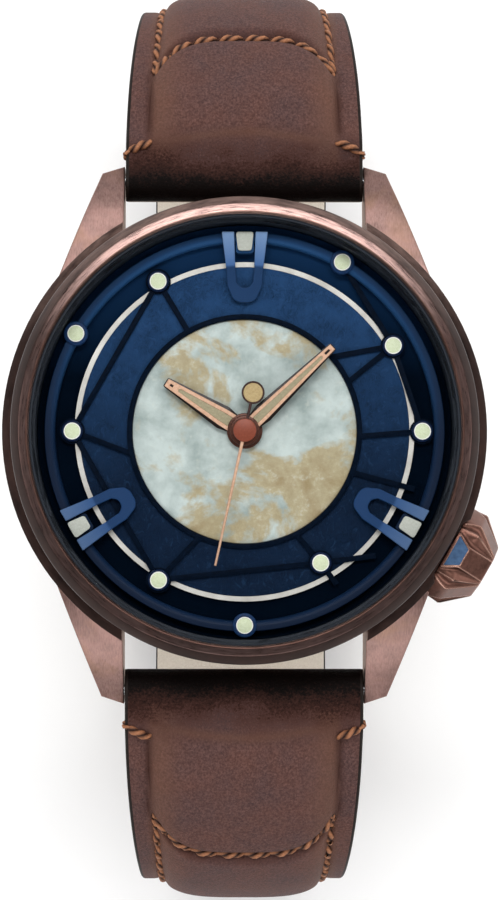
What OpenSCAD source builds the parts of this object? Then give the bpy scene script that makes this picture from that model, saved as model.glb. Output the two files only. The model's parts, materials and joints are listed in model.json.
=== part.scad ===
// Automatic wristwatch, buckled, lying dial up: +Z out of the dial, +Y to twelve o'clock.
// The origin is on the hands' axis, in the outer face of the case back.

/* [Case] */
// Diameter of the round case middle
case_d = 44; // [43:0.5:47]
// Height of the case middle
middle_h = 9.2; // [9:0.1:10]
// Wall of the case middle, round the dial and the movement
case_wall = 3.1; // [2.9:0.1:3.3]
// Thickness of the case back's rim
back_t = 1.2; // [1:0.1:1.5]
// Step from the case middle in to the case back
back_step = 1.6; // [1.5:0.1:1.8]
// Diameter of the window in the case back
back_window_d = 27.2; // [26.8:0.1:27.6]
// Direction of the crown round the dial, zero at three o'clock
crown_angle = -30; // [-35:1:-25]

/* [Bezel and crystal] */
// Step from the case middle in to the bezel
bezel_step = 0.9; // [0.5:0.1:1.1]
// Height of the bezel
bezel_h = 2.8; // [2.6:0.1:3.2]
// Width of the bezel's ring
bezel_w = 1.75; // [1.6:0.05:1.8]
// Thickness of the crystal
crystal_t = 1.8; // [1.4:0.1:2]
// Wall of the ring that seals the crystal
crystal_seal_t = 0.16; // [0.12:0.02:0.2]

/* [Lugs] */
// Gap between two lugs, for the strap
lug_gap = 22.2; // [22:0.1:22.6]
// Length over the lugs
lug_span = 49.8; // [49.4:0.1:51]
// Width of a lug at its tip
lug_tip_w = 2.05; // [1.9:0.05:2.4]
// Distance between the two spring bars
bar_span = 47.2; // [46.6:0.1:47.4]
// Height of the spring bars above the case back's face
bar_z = 3; // [2.8:0.1:3.3]
// Diameter of a spring bar
bar_d = 1.5; // [1.3:0.1:1.8]

/* [Crown] */
// Diameter over the crown's ridges
crown_d = 9.6; // [9:0.1:10]
// Length of the crown
crown_len = 4.1; // [3.8:0.1:4.4]
// Diameter of the crown's outer face
crown_face_d = 5.2; // [4.6:0.1:5.8]
// Flat panels round the crown
crown_panels = 6; // [5:1:7]
// Height of the winding stem above the case back's face
stem_z = 5.7; // [5.5:0.1:5.8]
// Diameter of the winding stem
stem_d = 1.2; // [1:0.1:1.4]
// Diameter of the crown tube
tube_d = 3.6; // [3.2:0.1:3.8]

/* [Dial] */
// Height of the dial's underside above the case back's face
dial_z = 8; // [8:0.1:8.3]
// Thickness of the dial's base
dial_base_t = 0.4; // [0.3:0.05:0.5]
// Thickness of the textured plate
sector_t = 0.4; // [0.3:0.05:0.5]
// Thickness of the bars on the textured plate
lattice_t = 0.25; // [0.15:0.05:0.3]
// Width of those bars
strut_w = 0.5; // [0.3:0.05:0.7]
// Width of the textured plate, from the white ring in to the moon disc's rim
sector_w = 4.3; // [4.1:0.1:4.7]
// Rise of the moon disc at its centre
moon_rise = 0.35; // [0.2:0.05:0.4]
// Width of the dark rim round the moon disc
rim_w = 0.46; // [0.3:0.02:0.6]
// Width of the dark trench between the flange and the white ring
trench_w = 1.75; // [1.5:0.05:2]
// Width of the white ring
track_w = 0.45; // [0.3:0.05:0.6]
// Gap round the blue flange
flange_gap = 0.75; // [0.5:0.05:0.9]
// Width of the blue flange
flange_w = 0.95; // [0.8:0.05:1.1]
// Height of the blue flange
flange_h = 1.15; // [1:0.05:1.3]
// Radius of a luminous spot
plot_r = 0.77; // [0.6:0.01:0.85]
// Height of the spots' cups above the dial's base
plot_h = 1; // [0.9:0.05:1.1]

/* [Hands] */
// Length of the hour hand
hour_len = 8.45; // [7.5:0.05:9]
// Length of the minute hand
minute_len = 11.1; // [10:0.1:11.2]
// Length of the seconds hand
second_len = 12.5; // [11.5:0.1:14]
// Width of the hour hand
hour_w = 2.2; // [1.8:0.05:2.4]
// Width of the minute hand
minute_w = 1.85; // [1.5:0.05:2.1]
// Thickness of a hand
hand_t = 0.3; // [0.2:0.05:0.35]
// Direction of the hour hand
hour_at = 148.2; // [0:0.1:360]
// Direction of the minute hand
minute_at = 43.7; // [0:0.1:360]
// Direction of the seconds hand
second_at = 257.7; // [0:0.1:360]

/* [Movement] */
// Diameter of the movement
movement_d = 27.4; // [27:0.1:27.6]
// Thickness of the bridges
bridge_t = 0.7; // [0.5:0.05:0.8]
// Thickness of the main plate
plate_t = 0.9; // [0.8:0.05:0.95]
// Height of the gap between the bridges and the main plate
train_h = 2.75; // [2.7:0.05:2.8]
// Thickness of a wheel
wheel_t = 0.15; // [0.1:0.01:0.18]
// Tooth module of the centre wheel
train_m = 0.13; // [0.12:0.005:0.135]
// Radius of the balance wheel
balance_r = 3.5; // [3.1:0.1:3.5]
// Radius of the winding rotor
rotor_r = 13; // [12:0.1:13.1]

/* [Strap] */
// Width of the strap at the lugs
strap_w = 22; // [21.6:0.1:22]
// Width of the strap at the buckle
strap_end_w = 18; // [17.5:0.5:20]
// Reach of the strap's edge from the hands' axis
strap_reach = 42.8; // [42:0.2:46]
// Slope of the strap as it leaves the lugs
strap_slope = 12; // [8:1:16]
// Thickness of the strap's edges
strap_t = 2.6; // [2.4:0.1:2.8]
// Thickness of the strap's tail
tail_t = 2.2; // [2:0.1:2.4]
// Rise of the padding over the edges
pad_rise = 1.9; // [1.5:0.1:2]
// Width of the padding
pad_w = 17.7; // [16:0.1:18.5]
// Bend radius of the buckle half at the bottom
bend_r = 21; // [20:0.5:22]
// Length of the buckle half
short_len = 80; // [78:0.5:82]
// Length of the half with holes
long_len = 120; // [112:1:124]
// Distance between the holes
hole_pitch = 7; // [6:0.5:8]

/* [Buckle] */
// Diameter of the buckle's bar
hinge_d = 1.6; // [1.4:0.1:1.8]
// Width of the buckle's outer bar
frame_bar_w = 2.5; // [2:0.1:3]
// Thickness of the buckle's outer bar and of the loops' outer wall
frame_t = 1.6; // [1.5:0.1:1.8]
// Distance from the hinge to the middle of the outer bar
frame_reach = 11.55; // [11.2:0.05:12]
// Thickness of the buckle's side arms
arm_t = 1.8; // [1.4:0.1:2.2]
// Width of the tongue
prong_w = 1.8; // [1.5:0.1:2]
// Width of a strap loop
keeper_w = 4.5; // [4:0.1:5]
// Distance from the hinge to the middle of the fixed loop
keeper_at = 8; // [7.8:0.1:8.3]
// Distance between the two loops
keeper_gap = 1.6; // [1.5:0.1:1.8]

/* [Hidden] */
$fn = 96;
// Clearances: a seated piece, a shaft in its hole, a loop round the strap
fit = 0.02;
run = 0.04;
slack = 0.2;

// Case heights and radii
mid_z = back_t;
mid_top = mid_z + middle_h;
neck_h = 0.9;
neck_top = mid_top + neck_h;
neck_wall = 0.85;
bezel_top = mid_top + bezel_h;
cavity_r = case_d / 2 - case_wall;
neck_r = cavity_r + neck_wall;
bezel_r = case_d / 2 - bezel_step;
bezel_open_r = bezel_r - bezel_w;
back_r = case_d / 2 - back_step;
crystal_r = bezel_open_r - crystal_seal_t - 2 * fit;
spigot_h = 1.8;
spigot_w = 1.2;
spigot_top = back_t + spigot_h;
glass_r = back_window_d / 2;
glass_lip = 0.6;
glass_lip_t = 0.3;
groove_r = cavity_r + 0.3;
groove_w = 0.7;
groove_h = 0.55;
// Between the lugs the case stays inside this radius
waist_r = bezel_r - 0.5;

// Lugs
lug_root_y = 13.9;
lug_top_z = 8.7;
lug_in = lug_gap / 2;
lug_end = lug_span / 2;
lug_hole_depth = 1.3;
bar_y = bar_span / 2;
bar_r = bar_d / 2;

// Crown, on its own axis: distances are from the hands' axis
crown_start = case_d / 2 - 0.6;
crown_end = crown_start + crown_len;
crown_r = crown_d / 2;
crown_base_r = crown_r - 0.3;
crown_shoulder = crown_start + 1.8;
crown_flat = crown_r - 0.45;
pocket_gap = 0.15;
tube_r = tube_d / 2;
seal_t = 0.22;
skirt_r = tube_r + seal_t + 2 * run;
skirt_depth = crown_len - 1.2;
tube_end = crown_start + skirt_depth - 0.3;
stem_r = stem_d / 2;
stem_in = 9.6;
inlay_t = 0.3;
// Every second panel has an inlay, the one that faces up among them
inlaid = [1:2:crown_panels - 1];
// The scoops: radius, distance of their axes, offset from the panel's middle at both ends, slant
// up to the shoulder and the angle at which they run out past it
scoop_r = 0.46;
scoop_x = crown_flat + 0.14;
scoop_in_y = 2.2;
scoop_out_y = 1.4;
scoop_fade = 7;
scoop_slant = atan((scoop_in_y - scoop_out_y) / (crown_shoulder - crown_start));

// Dial heights
dial_top = dial_z + dial_base_t;
sector_top = dial_top + sector_t;
lattice_top = sector_top + lattice_t;
dial_r = cavity_r - 0.05;
dial_hole_r = 1.15;
flange_ro = cavity_r - flange_gap;
flange_ri = flange_ro - flange_w;
track_r = flange_ri - trench_w;
track_ri = track_r - track_w;
sector_ri = track_ri - sector_w;
moon_r = sector_ri - rim_w - 2 * fit;
// Brackets: radius at the bend and at the tip, and heights
bracket_bend_r = track_ri;
bracket_tip_r = flange_ri - 5.6;
bracket_z = 10.2;
bracket_bend_z = 9.75;
bracket_tip_z = 9.45;
bracket_t = 0.4;
// The brackets, and the luminous block between a bracket's legs with the shelf under it
bracket_at = [90, 210, 330];
lume_ri = flange_ri - 0.8;
shelf_ri = lume_ri - 0.2;
shelf_w = 1.64;
lume_h = 0.45;
lume_in_w = 1.24;
lume_out_w = 1.6;

// Spots: direction, then distance as a share of the flange's inner radius
plots = [[60, 1.032], [30, 0.907], [0, 0.939], [300, 0.802], [270, 1.023],
    [240, 0.907], [180, 0.91], [150, 1.029], [120, 0.916]];
// The spots that stand on the flange
flange_plots = [0, 4, 7];
cup_wall = 0.2;
flange_cup_wall = 0.33;
// Width of a bar's collar round a cup, and the flange left under a cup
collar_w = 0.18;
cup_floor = 0.35;
// Bars from spot to spot, by their place in the list above
links = [[0, 1], [1, 2], [3, 5], [5, 6], [6, 8]];
// Bars from a spot in to the dark rim: the spot, then where the bar lands
spokes = [[8, 119.5], [6, 191.5], [5, 247], [3, 296.5], [2, 357.5], [1, 40.5], [1, 25.5]];
// Bars out to the trench: the spot, then direction and share of the far end
outer_spokes = [[3, 316.5, 0.953], [3, 301, 0.942]];
// A free bar from the rim out to the trench: its two directions and the outer share
free_bar = [339, 341.2, 0.948];

// Movement heights, counted from the back
bridge_z = 3.15;
train_z = bridge_z + bridge_t;
plate_z = train_z + train_h;
plate_top = plate_z + plate_t;
movement_r = movement_d / 2;
third_z = train_z + 0.2;
fourth_z = train_z + 0.55;
centre_z = train_z + 0.85;
escape_z = train_z + 1.35;
balance_z = train_z + 0.65;
barrel_h = 1.5;
barrel_z = plate_z - barrel_h - 0.1;
rotor_z = back_t + glass_lip_t + 0.25;
rotor_rim_t = 1;
rotor_web_t = 0.4;
rotor_web_z = rotor_z + 0.55;

// Teeth of the going train and of the motion work
barrel_teeth = 72;
centre_leaves = 12;
centre_teeth = 64;
third_leaves = 8;
third_teeth = 60;
fourth_leaves = 8;
fourth_teeth = 84;
escape_leaves = 7;
cannon_leaves = 12;
minute_teeth = 36;
minute_leaves = 10;
hour_teeth = 40;
barrel_m = 0.16;
fourth_m = 0.1;
cannon_m = 0.11;
third_d = train_m * (centre_teeth + third_leaves) / 2;
third_m = 2 * third_d / (third_teeth + fourth_leaves);
barrel_dist = barrel_m * (barrel_teeth + centre_leaves) / 2;
escape_dist = fourth_m * (fourth_teeth + escape_leaves) / 2;
minute_dist = cannon_m * (cannon_leaves + minute_teeth) / 2;
hour_m = 2 * minute_dist / (minute_leaves + hour_teeth);
barrel_dir = 135;
third_dir = 315;
escape_dir = 230;
minute_dir = 20;
escape_r = 2;
pallet_drop = 2.62;
pallet_pos = polar(escape_dist, escape_dir) - [0, pallet_drop];
balance_pos = pallet_pos + [1.9, -3.3];
cock_foot = [4.1, -11.7];
foot_r = 1;
arbor_r = 0.18;
pivot_r = 0.12;
jewel_r = 0.5;
centre_arbor_r = 0.42;
cannon_r = 0.7;
hour_pipe_r = 1.02;
barrel_r = barrel_m * barrel_teeth / 2 - 0.45;
barrel_wall = 0.35;
barrel_arbor_r = 0.7;
bridge_split = 2.5;
bridge_gap = 0.15;
barrel_feet = [[2.6, 12], [-12, -1.2]];
train_feet = [[11.6, 3.4], [8, -9.8], [-7.5, -8.6]];
bearing_r = 0.9;
bearing_head_r = 1.6;
screw_r = 0.4;
// Half widths of a tooth, in pitches, at its foot and at its tip
tooth_foot = 0.25;
tooth_tip = 0.1;

// Hand heights: each hand clears the one below it
hour_z = 9.5;
hand_gap = 0.3;
minute_z = hour_z + hand_t + hand_gap;
second_z = minute_z + hand_t + hand_gap;
second_t = 0.2;
hub_r = 1.5;
cap_r = 1.06;
ring_at = -3.5;
ring_r = 1.04;

// Strap route: straight from the bar, round the top bend, round the bottom bend, flat
lead = 3;
edge_out = strap_t / 2;
apex_y = strap_reach - edge_out;
top_r = (apex_y - bar_y - lead * cos(strap_slope)) / (1 - sin(strap_slope));
apex_z = bar_z - lead * sin(strap_slope) - top_r * cos(strap_slope);
tail_gap = 0.3;
long_bend_r = bend_r + strap_t / 2 + tail_gap + tail_t / 2;
flat_y = apex_y - bend_r;
s_top = lead + top_r * (90 - strap_slope) * PI / 180;
s_short = s_top + bend_r * PI / 2;
s_long = s_top + long_bend_r * PI / 2;
s_tail = s_long + (apex_y - long_bend_r) + flat_y;
end_r = 1.9;
// Where the padding starts to thin, and over what length it runs out
s_pad = 38;
pad_run = 11;
// The buckle's bar, the strap's outer faces and the plane that the watch stands on
hinge_y = flat_y - (short_len - s_short);
hinge_end_r = strap_t / 2 + 0.4;
hinge_z = apex_z - bend_r + 0.4;
inner_face = apex_z - bend_r + strap_t / 2;
long_z = apex_z - long_bend_r;
long_face = long_z - tail_t / 2;
stand_top = long_face - slack;
stand_z = stand_top - frame_t;
frame_bar_y = hinge_y - frame_reach;
arm_in = strap_end_w / 2 + 0.4;
hinge_r = hinge_d / 2;
keeper_y = hinge_y + keeper_at;
slide_y = keeper_y + keeper_w + keeper_gap;
prong_hole_y = hinge_y - 7.15;
s_hole = s_long + (apex_y - long_bend_r) - (-prong_hole_y);

// A point at a distance and direction from the origin
function polar(r, a) = [r * cos(a), r * sin(a)];

// Points along an arc round c
function arc(c, r, a0, a1, n = 8) = [for (i = [0:n]) c + polar(r, a0 + (a1 - a0) * i / n)];

// A rectangle with round corners
function soft_box(w, h, r) = concat(
    arc([w / 2 - r, h / 2 - r], r, 0, 90, 4), arc([r - w / 2, h / 2 - r], r, 90, 180, 4),
    arc([r - w / 2, r - h / 2], r, 180, 270, 4), arc([w / 2 - r, r - h / 2], r, 270, 360, 4));

// A ring from radius ri to ro and from height z0 to z1
module ring(ri, ro, z0, z1) {
    translate([0, 0, z0]) difference() {
        cylinder(r = ro, h = z1 - z0);
        translate([0, 0, -1]) cylinder(r = ri, h = z1 - z0 + 2);
    }
}

// A solid cylinder between two heights, at a place on the dial plane
module post(r, z0, z1, at = [0, 0]) {
    translate([at[0], at[1], z0]) cylinder(r = r, h = z1 - z0);
}

// A flat bar of width w between two points
module bar(a, b, w, z0, z1) {
    d = b - a;
    translate([a[0], a[1], z0]) rotate([0, 0, atan2(d[1], d[0])])
        translate([0, -w / 2, 0]) cube([norm(d), w, z1 - z0]);
}

// An outline in the plane of Y and Z, drawn out across the watch
module across(points, w) {
    translate([-w / 2, 0, 0]) rotate([90, 0, 90]) linear_extrude(w) polygon(points);
}

// Case

module lug_plan() {
    polygon([[lug_in, 8], [lug_in, lug_end], [lug_in + lug_tip_w, lug_end - 0.7],
        [case_d / 2 * cos(39.2), lug_root_y], [case_d / 2 * cos(30), 8]]);
}

module lug() {
    top = concat([[8, lug_top_z + 0.1]],
        arc([12, lug_top_z - 17.8], 17.8, 86, 51, 8),
        [[lug_end, bar_z + 0.6], [lug_end, bar_z - 1.3], [lug_end - 0.7, bar_z - 2.2],
        [bar_y - 1.2, bar_z - 2.5], [lug_root_y, mid_z + 0.1], [8, mid_z + 0.1]]);
    intersection() {
        linear_extrude(20) lug_plan();
        translate([lug_in + 5, 0, 0]) across(top, 14);
    }
}

module stem_axis() {
    rotate([0, 0, crown_angle]) translate([0, 0, stem_z]) rotate([0, 90, 0]) children();
}

module case_middle() {
    color("saddlebrown") difference() {
        union() {
            difference() {
                rotate_extrude() polygon([[cavity_r - 1, mid_z], [case_d / 2 - 0.9, mid_z],
                    [case_d / 2, mid_z + 1], [case_d / 2, mid_top - 0.8], [bezel_r, mid_top],
                    [neck_r, mid_top], [neck_r, neck_top], [cavity_r - 1, neck_top]]);
                for (side = [-1, 1]) difference() {
                    translate([-lug_in, side > 0 ? 12 : -32, mid_z - 1])
                        cube([lug_gap, 20, middle_h + 2]);
                    cylinder(r = waist_r, h = 30);
                }
            }
            for (mx = [0, 1], my = [0, 1]) mirror([mx, 0, 0]) mirror([0, my, 0]) lug();
        }
        translate([0, 0, -1]) cylinder(r = cavity_r, h = 20);
        translate([0, 0, -1]) cylinder(r = back_r + run, h = mid_z + 1);
        ring(groove_r, groove_r + groove_w, mid_z - 1, mid_z + groove_h);
        // Holes for the spring bars, blind, from the inner faces of the lugs
        for (side = [-1, 1]) translate([-lug_in - lug_hole_depth, side * bar_y, bar_z])
            rotate([0, 90, 0]) cylinder(r = bar_r + run, h = lug_gap + 2 * lug_hole_depth);
        stem_axis() {
            translate([0, 0, cavity_r - 2]) cylinder(r = tube_r + fit, h = 8);
            translate([0, 0, crown_start - pocket_gap]) cylinder(r = crown_r + 0.3, h = 6);
        }
    }
}

module bezel() {
    color("rosybrown") rotate_extrude() polygon([[neck_r + fit, mid_top], [bezel_r, mid_top],
        [bezel_r, bezel_top - 1.2], [bezel_r - 0.12, bezel_top - 0.95],
        [bezel_r - 0.8, bezel_top - 0.15], [bezel_open_r + 0.25, bezel_top],
        [bezel_open_r, bezel_top - 0.25], [bezel_open_r, neck_top + fit],
        [neck_r + fit, neck_top + fit]]);
}

module crystal() {
    chamfer = 0.2;
    color("aliceblue", 0.3) rotate_extrude() polygon([[0, neck_top], [crystal_r, neck_top],
        [crystal_r, neck_top + crystal_t - chamfer], [crystal_r - chamfer, neck_top + crystal_t],
        [0, neck_top + crystal_t]]);
}

module crystal_gasket() {
    color("dimgray") ring(crystal_r + fit, bezel_open_r - fit, neck_top, neck_top + crystal_t * 0.8);
}

module case_back() {
    color("saddlebrown") difference() {
        rotate_extrude() polygon([[glass_r + fit, 0], [back_r - 0.4, 0],
            [back_r, 0.4], [back_r, back_t], [cavity_r - fit, back_t],
            [cavity_r - fit, spigot_top], [cavity_r - spigot_w, spigot_top],
            [cavity_r - spigot_w, back_t + glass_lip_t], [glass_r - glass_lip, back_t + glass_lip_t],
            [glass_r - glass_lip, back_t], [glass_r + fit, back_t]]);
        for (i = [0:5]) rotate([0, 0, 60 * i + 30])
            translate([back_r - 2.2, -1.3, -1]) cube([1.2, 2.6, 1.6]);
    }
}

module case_back_glass() {
    color("aliceblue", 0.3) post(glass_r, 0, back_t);
}

module case_back_gasket() {
    color("black") ring(groove_r + fit, groove_r + groove_w - fit, mid_z, mid_z + groove_h - fit);
}

module movement_holder() {
    color("silver") difference() {
        ring(movement_r + 0.05, cavity_r - 0.05, spigot_top, dial_z);
        stem_axis() translate([0, 0, movement_r - 2]) cylinder(r = stem_r + 0.6, h = 10);
    }
}

// Crown

module crown_tube() {
    color("darkgoldenrod") stem_axis() ring(stem_r + run, tube_r, cavity_r + 0.2, tube_end);
}

module panel_outline(grow) {
    polygon([[-1.5 - grow, crown_start + 0.25], [1.5 + grow, crown_start + 0.25],
        [0.8 + grow, crown_shoulder - 0.3 + grow], [-0.8 - grow, crown_shoulder - 0.3 + grow]]);
}

// A plate as thick as t that lies in the flat panel at angle a, its outer face d from the axis
module panel_plate(a, d, t, grow) {
    rotate([0, 0, a]) translate([d - t, 0, 0]) rotate([90, 0, 90])
        linear_extrude(t) panel_outline(grow);
}

module crown() {
    slope = atan2(crown_flat - crown_face_d / 2 + 0.15, crown_end - crown_shoulder);
    color("sienna") stem_axis() difference() {
        rotate_extrude() polygon([[0, crown_start], [crown_base_r, crown_start],
            [crown_r, crown_shoulder], [crown_face_d / 2, crown_end], [0, crown_end]]);
        for (i = [0:crown_panels - 1]) rotate([0, 0, i * 360 / crown_panels]) {
            translate([crown_flat, -6, crown_start - 1]) cube([3, 12, crown_len + 2]);
            translate([crown_flat, -6, crown_shoulder - 0.2]) rotate([0, -slope, 0])
                cube([3, 12, 6]);
            // A scoop on each side of the panel, slanting as far as the shoulder and straight past it
            for (k = [-1, 1]) {
                translate([scoop_x, k * scoop_in_y, crown_start]) rotate([k * scoop_slant, 0, 0])
                    translate([0, 0, -1]) cylinder(r = scoop_r, h = crown_shoulder - crown_start + 2);
                translate([scoop_x, k * scoop_out_y, crown_shoulder])
                    rotate([0, scoop_fade - slope, 0]) translate([0, 0, -0.2])
                    cylinder(r = scoop_r - 0.02, h = crown_len);
            }
        }
        translate([0, 0, crown_start - 1]) cylinder(r = skirt_r, h = skirt_depth + 1);
        cylinder(r = stem_r + fit, h = crown_end - 0.5);
        for (i = inlaid)
            panel_plate(i * 360 / crown_panels, crown_flat + 1, inlay_t + 1, fit);
    }
}

module crown_inlay() {
    color("navy") stem_axis() for (i = inlaid)
        panel_plate(i * 360 / crown_panels, crown_flat - 0.02, inlay_t - 0.02, 0);
}

module crown_stem() {
    color("lightsteelblue") stem_axis() {
        translate([0, 0, stem_in]) cylinder(r = stem_r, h = crown_end - 0.52 - stem_in);
        translate([0, 0, stem_in + 0.3]) cylinder(r = stem_r + 0.25, h = 1.2);
    }
}

module crown_gasket() {
    color("black") stem_axis()
        ring(tube_r + run, tube_r + seal_t + run, crown_start + 0.25, crown_start + 0.65);
}

// Dial

module dial_base() {
    color("midnightblue") ring(dial_hole_r, dial_r, dial_z, dial_top);
}

module sector_plate() {
    color("steelblue") ring(sector_ri, track_ri - fit, dial_top, sector_top);
}

module track_ring() {
    color("white") ring(track_ri, track_r, dial_top, sector_top);
}

module moon_disc() {
    dome_r = (pow(moon_r, 2) + pow(moon_rise, 2)) / (2 * moon_rise);
    edge_z = dial_top + 0.35;
    steps = 6;
    color("antiquewhite") rotate_extrude() polygon(concat(
        [[moon_r, dial_top], [dial_hole_r, dial_top]],
        [for (i = [0:steps]) let (r = dial_hole_r + (moon_r - dial_hole_r) * i / steps)
            [r, edge_z + moon_rise - dome_r + sqrt(pow(dome_r, 2) - pow(r, 2))]]));
}

function plot_at(i) = polar(plots[i][1] * flange_ri, plots[i][0]);
function on_flange(i) = len(search(i, flange_plots)) > 0;
function cup_r(i) = plot_r + (on_flange(i) ? flange_cup_wall : cup_wall);

module dial_lattice() {
    color("darkslategray") difference() {
        union() {
            ring(moon_r + fit, moon_r + rim_w + fit, dial_top, lattice_top);
            for (link = links)
                bar(plot_at(link[0]), plot_at(link[1]), strut_w, sector_top, lattice_top);
            for (s = spokes)
                bar(plot_at(s[0]), polar(moon_r + rim_w / 2, s[1]), strut_w, sector_top, lattice_top);
            for (s = outer_spokes)
                bar(plot_at(s[0]), polar(s[2] * flange_ri, s[1]), strut_w, sector_top, lattice_top);
            bar(polar(moon_r + rim_w / 2, free_bar[0]), polar(free_bar[2] * flange_ri, free_bar[1]),
                strut_w, sector_top, lattice_top);
            // A collar round each cup ties the bars together
            for (i = [0:len(plots) - 1]) if (!on_flange(i))
                post(cup_r(i) + collar_w, sector_top, lattice_top, plot_at(i));
        }
        for (i = [0:len(plots) - 1])
            post(cup_r(i) + fit, sector_top - 1, lattice_top + 1, plot_at(i));
        post(moon_r + fit, dial_top - 1, lattice_top + 1);
        ring(flange_ri - fit, cavity_r, dial_top, lattice_top + 1);
    }
}

module flange_ring() {
    round_r = 0.55;
    color("royalblue") difference() {
        union() {
            rotate_extrude() polygon(concat([[flange_ro, dial_top], [flange_ro, dial_top + flange_h]],
                arc([flange_ri + round_r, dial_top + flange_h - round_r], round_r, 90, 180, 6),
                [[flange_ri, dial_top]]));
            for (a = bracket_at) rotate([0, 0, a]) translate([shelf_ri, -shelf_w / 2, dial_top])
                cube([flange_ri + round_r - shelf_ri, shelf_w, flange_h]);
        }
        for (i = flange_plots)
            post(cup_r(i) + fit, dial_top + cup_floor, dial_top + flange_h + 1, plot_at(i));
    }
}

module bracket_plan() {
    bend = bracket_bend_r - 0.1;
    tip = bracket_tip_r + 0.1;
    difference() {
        polygon([[flange_ro, 2.1], [bend, 1.7], [tip + 1.5, 1.6], [tip + 0.2, 0.95], [tip, 0.6],
            [tip, -0.6], [tip + 0.2, -0.95], [tip + 1.5, -1.6], [bend, -1.7], [flange_ro, -2.1]]);
        polygon([[flange_ro + 1, 0.98], [bend, 0.86], [tip + 1.8, 0.75], [tip + 1.3, 0.35],
            [tip + 1.3, -0.35], [tip + 1.8, -0.75], [bend, -0.86], [flange_ro + 1, -0.98]]);
    }
}

// One bracket: its legs stand on the flange and its tip hangs over the textured plate
module bracket() {
    seat_z = dial_top + flange_h;
    outline = [[flange_ro, seat_z], [flange_ro, bracket_z], [bracket_bend_r + 0.1, bracket_bend_z],
        [bracket_tip_r, bracket_tip_z], [bracket_tip_r, bracket_tip_z - bracket_t],
        [bracket_bend_r, bracket_bend_z - bracket_t], [flange_ri + 0.55, seat_z]];
    intersection() {
        linear_extrude(20) bracket_plan();
        translate([0, 3, 0]) rotate([90, 0, 0]) linear_extrude(6) polygon(outline);
    }
}

module hour_brackets() {
    color("cornflowerblue") for (a = bracket_at) rotate([0, 0, a]) bracket();
}

module bracket_lume() {
    lume_ro = flange_ro - 0.05;
    color("ivory") for (a = bracket_at) rotate([0, 0, a])
        translate([0, 0, dial_top + flange_h]) linear_extrude(lume_h)
        polygon([[lume_ro, lume_out_w / 2], [lume_ro, -lume_out_w / 2],
            [lume_ri, -lume_in_w / 2], [lume_ri, lume_in_w / 2]]);
}

module plot_cups() {
    color("slategray") for (i = [0:len(plots) - 1])
        translate(plot_at(i)) difference() {
            base = on_flange(i) ? dial_top + cup_floor : sector_top;
            post(cup_r(i), base, dial_top + plot_h + (on_flange(i) ? 0.3 : 0));
            post(plot_r + fit, dial_top + plot_h - 0.3, dial_top + plot_h + 2);
        }
}

module plot_lume() {
    color("honeydew") for (i = [0:len(plots) - 1])
        post(plot_r, dial_top + plot_h - 0.3, dial_top + plot_h + (on_flange(i) ? 0.32 : 0.02),
            plot_at(i));
}

// Hands

module hand_plan(len, w) {
    polygon([[0, -0.4 * w], [2.6, -w / 2], [len - 0.5, -0.3 * w], [len, -0.2 * w],
        [len, 0.2 * w], [len - 0.5, 0.3 * w], [2.6, w / 2], [0, 0.4 * w]]);
}

module window_plan(len, w, grow) {
    polygon([[2.2, -w * 0.16 - grow], [len - 1.4, -w * 0.1 - grow], [len - 1.4, w * 0.1 + grow],
        [2.2, w * 0.16 + grow]]);
}

module hand(len, w, z, bore, hub, a) {
    translate([0, 0, z]) rotate([0, 0, a]) difference() {
        union() {
            linear_extrude(hand_t) hand_plan(len, w);
            cylinder(r = hub, h = hand_t);
        }
        translate([0, 0, -1]) linear_extrude(3) window_plan(len, w, fit);
        translate([0, 0, -1]) cylinder(r = bore, h = 3);
    }
}

module hour_hand() {
    color("peru") hand(hour_len, hour_w, hour_z, hour_pipe_r + fit, hub_r, hour_at);
}

module hour_hand_lume() {
    color("khaki") translate([0, 0, hour_z]) rotate([0, 0, hour_at])
        linear_extrude(hand_t) window_plan(hour_len, hour_w, 0);
}

module minute_hand() {
    color("peru") hand(minute_len, minute_w, minute_z, cannon_r + fit, hub_r - 0.2, minute_at);
}

module minute_hand_lume() {
    color("khaki") translate([0, 0, minute_z]) rotate([0, 0, minute_at])
        linear_extrude(hand_t) window_plan(minute_len, minute_w, 0);
}

module seconds_hand() {
    color("lightsalmon") translate([0, 0, second_z]) rotate([0, 0, second_at]) difference() {
        union() {
            linear_extrude(second_t) polygon([[ring_at, -0.14], [second_len, -0.11],
                [second_len, 0.11], [ring_at, 0.14]]);
            translate([ring_at, 0, 0]) cylinder(r = ring_r, h = second_t);
            cylinder(r = cap_r, h = second_t + 0.15);
            translate([0, 0, -hand_gap - hand_t + 0.1]) cylinder(r = 0.38, h = hand_gap + hand_t);
        }
        translate([0, 0, -2]) cylinder(r = arbor_r + fit, h = 2 + second_t);
    }
}

// Movement

// A toothed outline with a tooth at angle a
module teeth(n, m, a = 0) {
    pitch = 360 / n;
    foot = m * (n / 2 - 1.15);
    tip = m * (n / 2 + 0.6);
    polygon([for (i = [0:n - 1], k = [0:3]) let (at = a + i * pitch)
        k == 0 ? polar(foot, at - pitch * tooth_foot) :
        k == 1 ? polar(tip, at - pitch * tooth_tip) :
        k == 2 ? polar(tip, at + pitch * tooth_tip) :
        polar(foot, at + pitch * tooth_foot)]);
}

// Angle that puts a gap, not a tooth, in the direction d
function gap_at(n, d) = d + 180 / n;

// A spoked wheel, its rim and arms left between cut-outs
module spoked(n, m, t, a, hub, arms = 4) {
    r = m * n / 2;
    difference() {
        linear_extrude(t) teeth(n, m, a);
        difference() {
            ring(hub, r * 0.82, -1, t + 1);
            for (i = [0:arms - 1]) rotate([0, 0, i * 360 / arms + 20])
                translate([0, -r * 0.06, -2]) cube([r, r * 0.12, t + 4]);
        }
    }
}

// An arbor with a pivot at each end, between the bridge and the main plate
module arbor(r) {
    post(r, train_z + 0.04, plate_z - 0.04);
    post(pivot_r, train_z - 0.35, plate_z + 0.35);
}

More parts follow.
